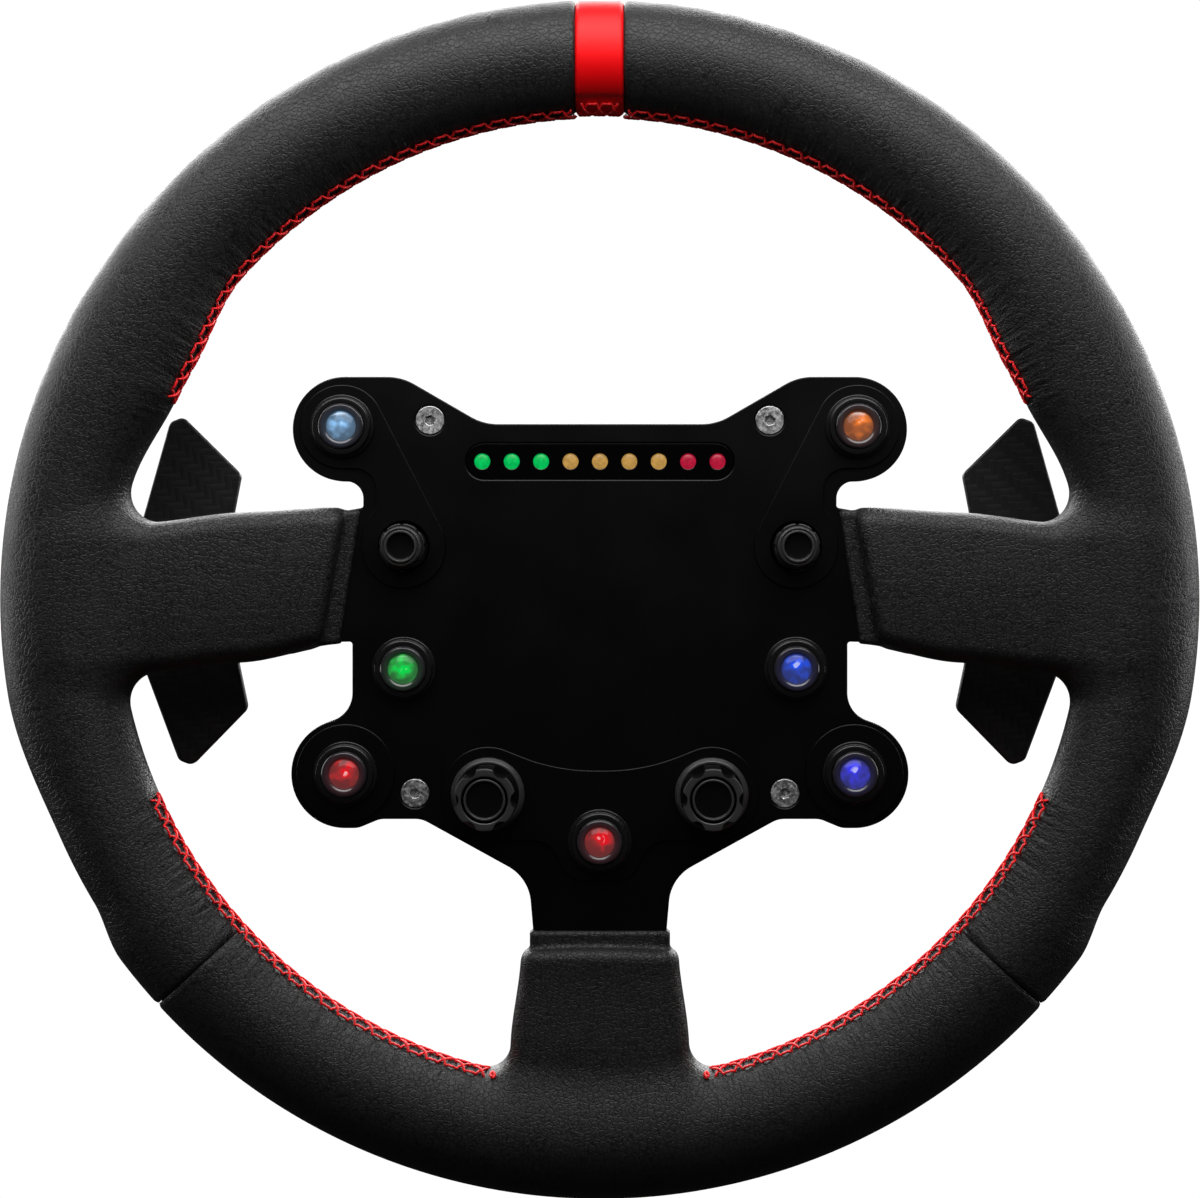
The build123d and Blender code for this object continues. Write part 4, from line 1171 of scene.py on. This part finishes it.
# Depths are in the CAD frame
STICK_CAP = [
    (0, -53.15, 0), (3.6, -53.2, 0.3), (3.85, -54.0, 0.15), (4.35, -54.0, 0.15), (4.45, -53.1, 0.1),
    (4.75, -53.1, 0.1), (4.95, -53.55, 0.15), (5.55, -52.9, 0.35), (5.55, -46.7, 0.2),
    (3.1, -46.7, 0), (3.1, -49.8, 0), (0, -49.8, 0),
]
STICK_COLLAR = [
    (5.64, -50.0, 0), (5.64, -50.2, 0.1), (6.3, -50.2, 0.35), (6.3, -46.6, 0.3), (5.64, -46.6, 0),
    (5.64, -50.0, 0),
]
COLLAR_NOTCHES = 8
NOTCH_DEPTH = 0.35
KNOB_FRONT = -60.5
SCALLOP_END = -47.9
SCALLOP_AWAY = 9.25
SCALLOP_RADIUS = 2.35
GRIP_FOOT = 8.6
KNOB = [
    (0, -54.9, 0), (6.3, -54.9, 0), (6.3, -60.3, 0.1), (6.5, KNOB_FRONT, 0.1), (8.15, KNOB_FRONT, 0.1),
    (8.4, -60.2, 0.15), (8.4, SCALLOP_END, 0), (8.41, SCALLOP_END + 0.02, 0),
    (8.5, SCALLOP_END + 0.5, 0.05), (8.65, SCALLOP_END + 0.1, 0.1), (9.2, SCALLOP_END + 0.1, 0.3),
    (10.1, -46.6, 0.4), (10.1, -45.4, 0.2), (0, -45.4, 0),
]
KNOB_CAP = [
    (0, -59.88, 0), (4.85, -59.9, 0.2), (5.1, -60.5, 0.15), (5.6, -60.48, 0.2), (5.65, -60.0, 0.2),
    (5.65, -56.6, 0), (0, -56.6, 0),
]


def build_buttons():
    """Push buttons: bezel, smoked cap and lit lens."""
    bezel_paint = gloss_black("bezel_black", 0.006, 0.26)
    for name, (x, z, color) in BUTTONS.items():
        seat = PLATE_FRONT if name in FLUSH_BUTTONS else PLATE_FRONT - PAD_RISE
        bezel = turned(f"bezel_{name}", BEZEL, x, z, seat)
        fit(bezel, "wheel", "button_bezels", bezel_paint)
        cap = turned(f"cap_{name}", BUTTON_CAP, x, z, seat)
        fit(cap, f"button_{name}", f"button_cap_{name}", cap_paint(name))
        lens = turned(f"lens_{name}", LENS, x, z, seat)
        fit(lens, f"button_{name}", f"button_lens_{name}", lens_paint(name))


def notched(a, size, _):
    """Radii of a joystick's collar, with notches cut in its edge."""
    wave = np.abs((a * COLLAR_NOTCHES / (2 * math.pi)) % 1 - 0.5) * 2
    return size - NOTCH_DEPTH * (size > 6.0) * step(wave, 0.7, 0.88)


def build_joysticks():
    """Thumb joysticks: ringed cap and notched collar."""
    satin = satin_black("stick_black", 0.03)
    x, z = JOYSTICK
    for name, side in SIDES.items():
        cap = turned(f"stick_cap_{name}", STICK_CAP, side * x, z)
        node = f"joystick_cap_{name}"
        fit(cap, node, node, ringed_paint(f"stick_cap_{name}", side * x, z, 3.75))
        collar = turned(f"stick_collar_{name}", STICK_COLLAR, side * x, z, count=120, shape_at=notched)
        node = f"joystick_collar_{name}"
        fit(collar, node, node, satin)


def scallops(a, size, depth):
    """Radii of a knob's grip with six scallops, above its skirt."""
    if depth > SCALLOP_END:
        return size
    turn = (a + math.pi / 6) % (math.pi / 3) - math.pi / 6
    across = SCALLOP_AWAY * np.sin(turn)
    half = np.sqrt(np.maximum(SCALLOP_RADIUS**2 - across**2, 0))
    return np.where(half > 0, np.minimum(size, SCALLOP_AWAY * np.cos(turn) - half), size)


def build_encoders():
    """Rotary knobs with scalloped grips, skirts and ringed push caps."""
    x, z = ENCODER
    for name, side in SIDES.items():
        knob = turned(f"knob_{name}", KNOB, side * x, z, count=240, shape_at=scallops)
        node = f"encoder_knob_{name}"
        fit(knob, node, node, grip_paint(node, side * x, z))
        cap = turned(f"knob_cap_{name}", KNOB_CAP, side * x, z)
        node = f"encoder_cap_{name}"
        fit(cap, node, node, ringed_paint(node, side * x, z, 4.95))


# ---- paddles

BLADE = [
    (104.3, 35.5, 3.0), (121.0, 52.0, 2.5), (125.0, 50.5, 2.5), (133.0, 22.0, 12.0),
    (135.0, 0.0, 30.0), (132.0, -22.0, 12.0), (122.5, -47.5, 2.5), (118.5, -49.0, 2.5),
    (102.4, -32.5, 3.0), (105.0, -20.0, 10.0), (107.0, 0.0, 20.0), (106.5, 24.0, 10.0),
]
BLADE_FRONT = -10.5
BLADE_BACK = -7.5
BLADE_SCREWS = (112.0, 119.0)
BLADE_SCREW = [
    (0, -11.3, 0), (1.2, -11.3, 0.1), (1.3, -12.0, 0.15), (2.1, -11.8, 0.8),
    (2.8, -10.5, 0.1), (1.45, -10.5, 0), (1.45, -2.5, 0), (0, -2.5, 0),
]


def build_blades():
    """Carbon fibre blades with bevelled edges, and their screws."""
    carbon = carbon_paint()
    steel = screw_paint()
    for name, side in SIDES.items():
        outline = rounded([(side * x, z, radius) for x, z, radius in BLADE])
        holes = [circle(side * x, 0, 1.5, 32) for x in BLADE_SCREWS]
        blade = slab_piece(f"blade_{name}", [(outline, holes, BLADE_FRONT, BLADE_BACK, 0.7, 0.5)])
        fit(blade, f"paddle_{name}", f"paddle_blade_{name}", carbon)
        for number, x in enumerate(BLADE_SCREWS):
            screw = turned(f"blade_screw_{name}_{number + 1}", BLADE_SCREW, side * x, 0, count=48)
            fit(screw, f"paddle_{name}", f"paddle_screws_{name}", steel)


# ---- materials of the hard parts

GLOW = {
    "white": srgb(150, 205, 255),
    "orange": srgb(255, 130, 40),
    "green": srgb(0, 225, 80),
    "blue": srgb(20, 85, 255),
    "red": srgb(240, 10, 28),
    "violet": srgb(60, 60, 255),
}
LED_GLOW = {
    "green": srgb(0, 205, 95),
    "amber": srgb(200, 155, 80),
    "red": srgb(190, 25, 60),
}
TOW_WIDTH = 2.1
TWILL_LEAN = 6


def plate_paint():
    """Fine matt black anodising."""
    paint = Paint("plate_black", grey(0.0009), 0.3, Specular_IOR_Level=0.3)
    paint.grain(9000.0, 0.000012)
    paint.smear(60.0, 0.28, 0.34)
    return paint.material


def gloss_black(name, level, roughness):
    """Moulded or turned black with a soft shine."""
    paint = Paint(name, grey(level), roughness)
    paint.smear(90.0, roughness * 0.94, roughness * 1.08)
    return paint.material


def satin_black(name, level):
    """Satin black anodised metal."""
    paint = Paint(name, grey(level), 0.36, Metallic=0.55, Specular_IOR_Level=0.6)
    paint.grain(5000.0, 0.00001)
    return paint.material


def led_paint(color):
    """A small lit LED behind a milky dome."""
    glow = LED_GLOW[color]
    paint = Paint(f"led_{color}", tuple(v * 0.15 for v in glow), 0.3)
    cloud = paint.noise(900.0, 2.0)
    paint.set("Emission Color", (*glow, 1))
    paint.set("Emission Strength", paint.range(cloud, 0.6, 0.86, 0.35, 0.65))
    return paint.material


def screw_paint():
    """Zinc plated steel with a fine grain and a little wear."""
    paint = Paint("zinc", grey(0.42), 0.42, Metallic=1.0)
    wear = paint.noise(1100.0, 4.0, 0.65)
    paint.set("Roughness", paint.range(wear, 0.34, 0.6, 0.35, 0.65))
    paint.set("Base Color", paint.range(wear, 0.3, 0.8, 0.35, 0.65))
    paint.grain(4200.0, 0.00003, 0.6)
    return paint.material


def start_metal_and_black(name):
    return Paint(name, grey(0.06), 0.3, Specular_IOR_Level=0.25)


def metal_and_black(paint, bright):
    """Makes a paint dark satin black, with satin metal where bright is 1."""
    paint.set("Base Color", paint.range(bright, 0.003, 0.085))
    paint.set("Metallic", paint.range(bright, 0.0, 0.6))
    paint.set("Roughness", paint.range(bright, 0.26, 0.34))
    paint.grain(5000.0, 0.00001)
    return paint.material


def ringed_paint(name, x, z, radius):
    """Metal with a black disc of this radius in its face."""
    paint = start_metal_and_black(name)
    return metal_and_black(paint, paint.range(paint.from_axis(x, z, radius), 0.0, 1.0, 0.99, 1.01))


def grip_paint(name, x, z):
    """A knob whose front face and skirt are metal, and whose notches are black as painted shade."""
    paint = start_metal_and_black(name)
    # painted shade: the notches' floors and walls stay black so they read as shadowed; the front face and
    # the skirt beyond GRIP_FOOT are metal
    skirt = paint.range(paint.from_axis(x, z, GRIP_FOOT), 0.0, 1.0, 0.995, 1.005)
    depth = paint.add("SeparateXYZ", {0: paint.place()}).outputs[1]
    front = paint.range(depth, 1.0, 0.0, (KNOB_FRONT + 0.8) * MM, (KNOB_FRONT + 1.0) * MM)
    return metal_and_black(paint, paint.math("MAXIMUM", skirt, front))


def cap_paint(name):
    """Smoked cap with a painted glow: near its inner edge it gives off a little of its lens's light."""
    x, z, color = BUTTONS[name]
    paint = Paint(f"cap_{name}", (0.022, 0.019, 0.024), 0.22, Coat_Weight=0.4, Coat_Roughness=0.08)
    lens_glow_share = paint.range(paint.from_axis(x, z, 6.27), 0.1, 0.0, 0.62, 0.95)
    # painted glow: the cap gives off a little of its lens's light, most near its inner edge
    paint.set("Emission Color", (*[0.35 * v + 0.05 for v in GLOW[color]], 1))
    paint.set("Emission Strength", lens_glow_share)
    return paint.material


def lens_paint(name):
    """A lit lens: a bright middle, cloudy with the light of the LED under it."""
    x, z, color = BUTTONS[name]
    glow = GLOW[color]
    paint = Paint(f"lens_{name}", tuple(v * 0.2 for v in glow), 0.12, Coat_Weight=1.0)
    share = paint.from_axis(x, z + 0.9, 4.15)
    patch = paint.range(paint.noise(380.0, 1.0), 0.0, 1.0, 0.36, 0.64)
    pulled = paint.math("MULTIPLY_ADD", patch, 0.75, share)
    pale = tuple(min(1.0, 0.5 + 0.65 * v) for v in glow)
    half = tuple(v * 0.42 + 0.03 for v in glow)
    deep = tuple(v * 0.12 + 0.03 for v in glow)
    reach = 1.7
    stops = [(0.2 / reach, pale), (0.38 / reach, glow), (0.85 / reach, half), (1.35 / reach, deep)]
    paint.set("Emission Color", paint.ramp(paint.math("DIVIDE", pulled, reach), stops))
    paint.set("Emission Strength", 0.85)
    return paint.material


def carbon_paint():
    """2 by 2 twill under satin lacquer: each tow is a low rounded bar, and one set of tows has a slightly
    lighter base colour as painted sheen.
    """
    paint = Paint("carbon_twill", grey(0.012), 0.42, Specular_IOR_Level=0.5)
    lean = (0, math.radians(TWILL_LEAN), 0)
    leaning = paint.add("Mapping", {"Vector": paint.place(), "Rotation": lean}).outputs[0]
    parts = paint.add("SeparateXYZ", {0: leaning}).outputs
    ways = [paint.math("DIVIDE", parts[axis], TOW_WIDTH * MM) for axis in (0, 2)]
    total = paint.math("ADD", *[paint.math("FLOOR", way) for way in ways])
    over = paint.math("LESS_THAN", paint.math("FLOORED_MODULO", total, 4.0), 1.5)
    waves = [paint.math("SINE", paint.math("MULTIPLY", way, math.pi)) for way in ways]
    bars = [paint.math("ABSOLUTE", wave) for wave in waves]
    height = paint.add("Mix", {0: over, 2: bars[0], 3: bars[1]}).outputs[0]
    # painted sheen: one set of tows has a slightly lighter base colour, standing for the sheen that the
    # fibres' direction catches
    paint.set("Base Color", paint.add("Mix", {0: over, 2: 0.009, 3: 0.014}).outputs[0])
    paint.set("Normal", paint.bump(height, 0.00009, 0.5))
    return paint.material


def bevelled(name, color, roughness, radius, metallic):
    """A plain material that rounds off hard edges by this radius in millimetres."""
    paint = Paint(name, color, roughness, Metallic=metallic)
    edge = paint.add("Bevel", {"Radius": radius * MM}, samples=6).outputs[0]
    paint.grain(2400.0, 0.00004, detail=3.0, under=edge)
    paint.smear(90.0, roughness * 0.85, roughness * 1.15)
    return paint.material


# Name, colour, roughness, edge radius and metal of the plain materials, by slot
FRAME_PAINTS = {
    "core_metal": ("core_metal", grey(0.6), 0.35, 0.5, 1.0),
    "nut": ("nut_steel", grey(0.35), 0.38, 0.3, 1.0),
    "switch_body": ("switch_black", grey(0.012), 0.5, 0.4, 0.0),
    "brass": ("gold_contact", (0.78, 0.55, 0.20), 0.25, 0.2, 1.0),
    "board": ("circuit_board", (0.01, 0.10, 0.03), 0.35, 0.1, 0.0),
    "housing": ("housing_black", grey(0.010), 0.55, 1.2, 0.0),
    "hub": ("hub_black", grey(0.014), 0.38, 0.5, 0.6),
    "pin_steel": ("ground_steel", grey(0.5), 0.28, 0.2, 1.0),
    "lever": ("lever_black", grey(0.014), 0.36, 0.5, 0.6),
}


def dress_frame():
    """Gives every CAD node that is still shown the material of its slot."""
    paints = {slot: bevelled(*row) for slot, row in FRAME_PAINTS.items()}
    paints["screw_steel"] = screw_paint()
    paints["knob"] = satin_black("knob_black", 0.03)
    for row in frame["record"]["subparts"]:
        node = frame["nodes"][row["node"]]
        if node.hide_render:
            continue
        node.data.materials.clear()
        node.data.materials.append(paints[row["material_slot"]])


place_camera()
light_scene()
build_stage()
build_leather()
build_foam()
build_stripe()
build_stitching()
build_plate()
build_strip()
build_screws()
build_buttons()
build_joysticks()
build_encoders()
build_blades()
dress_frame()
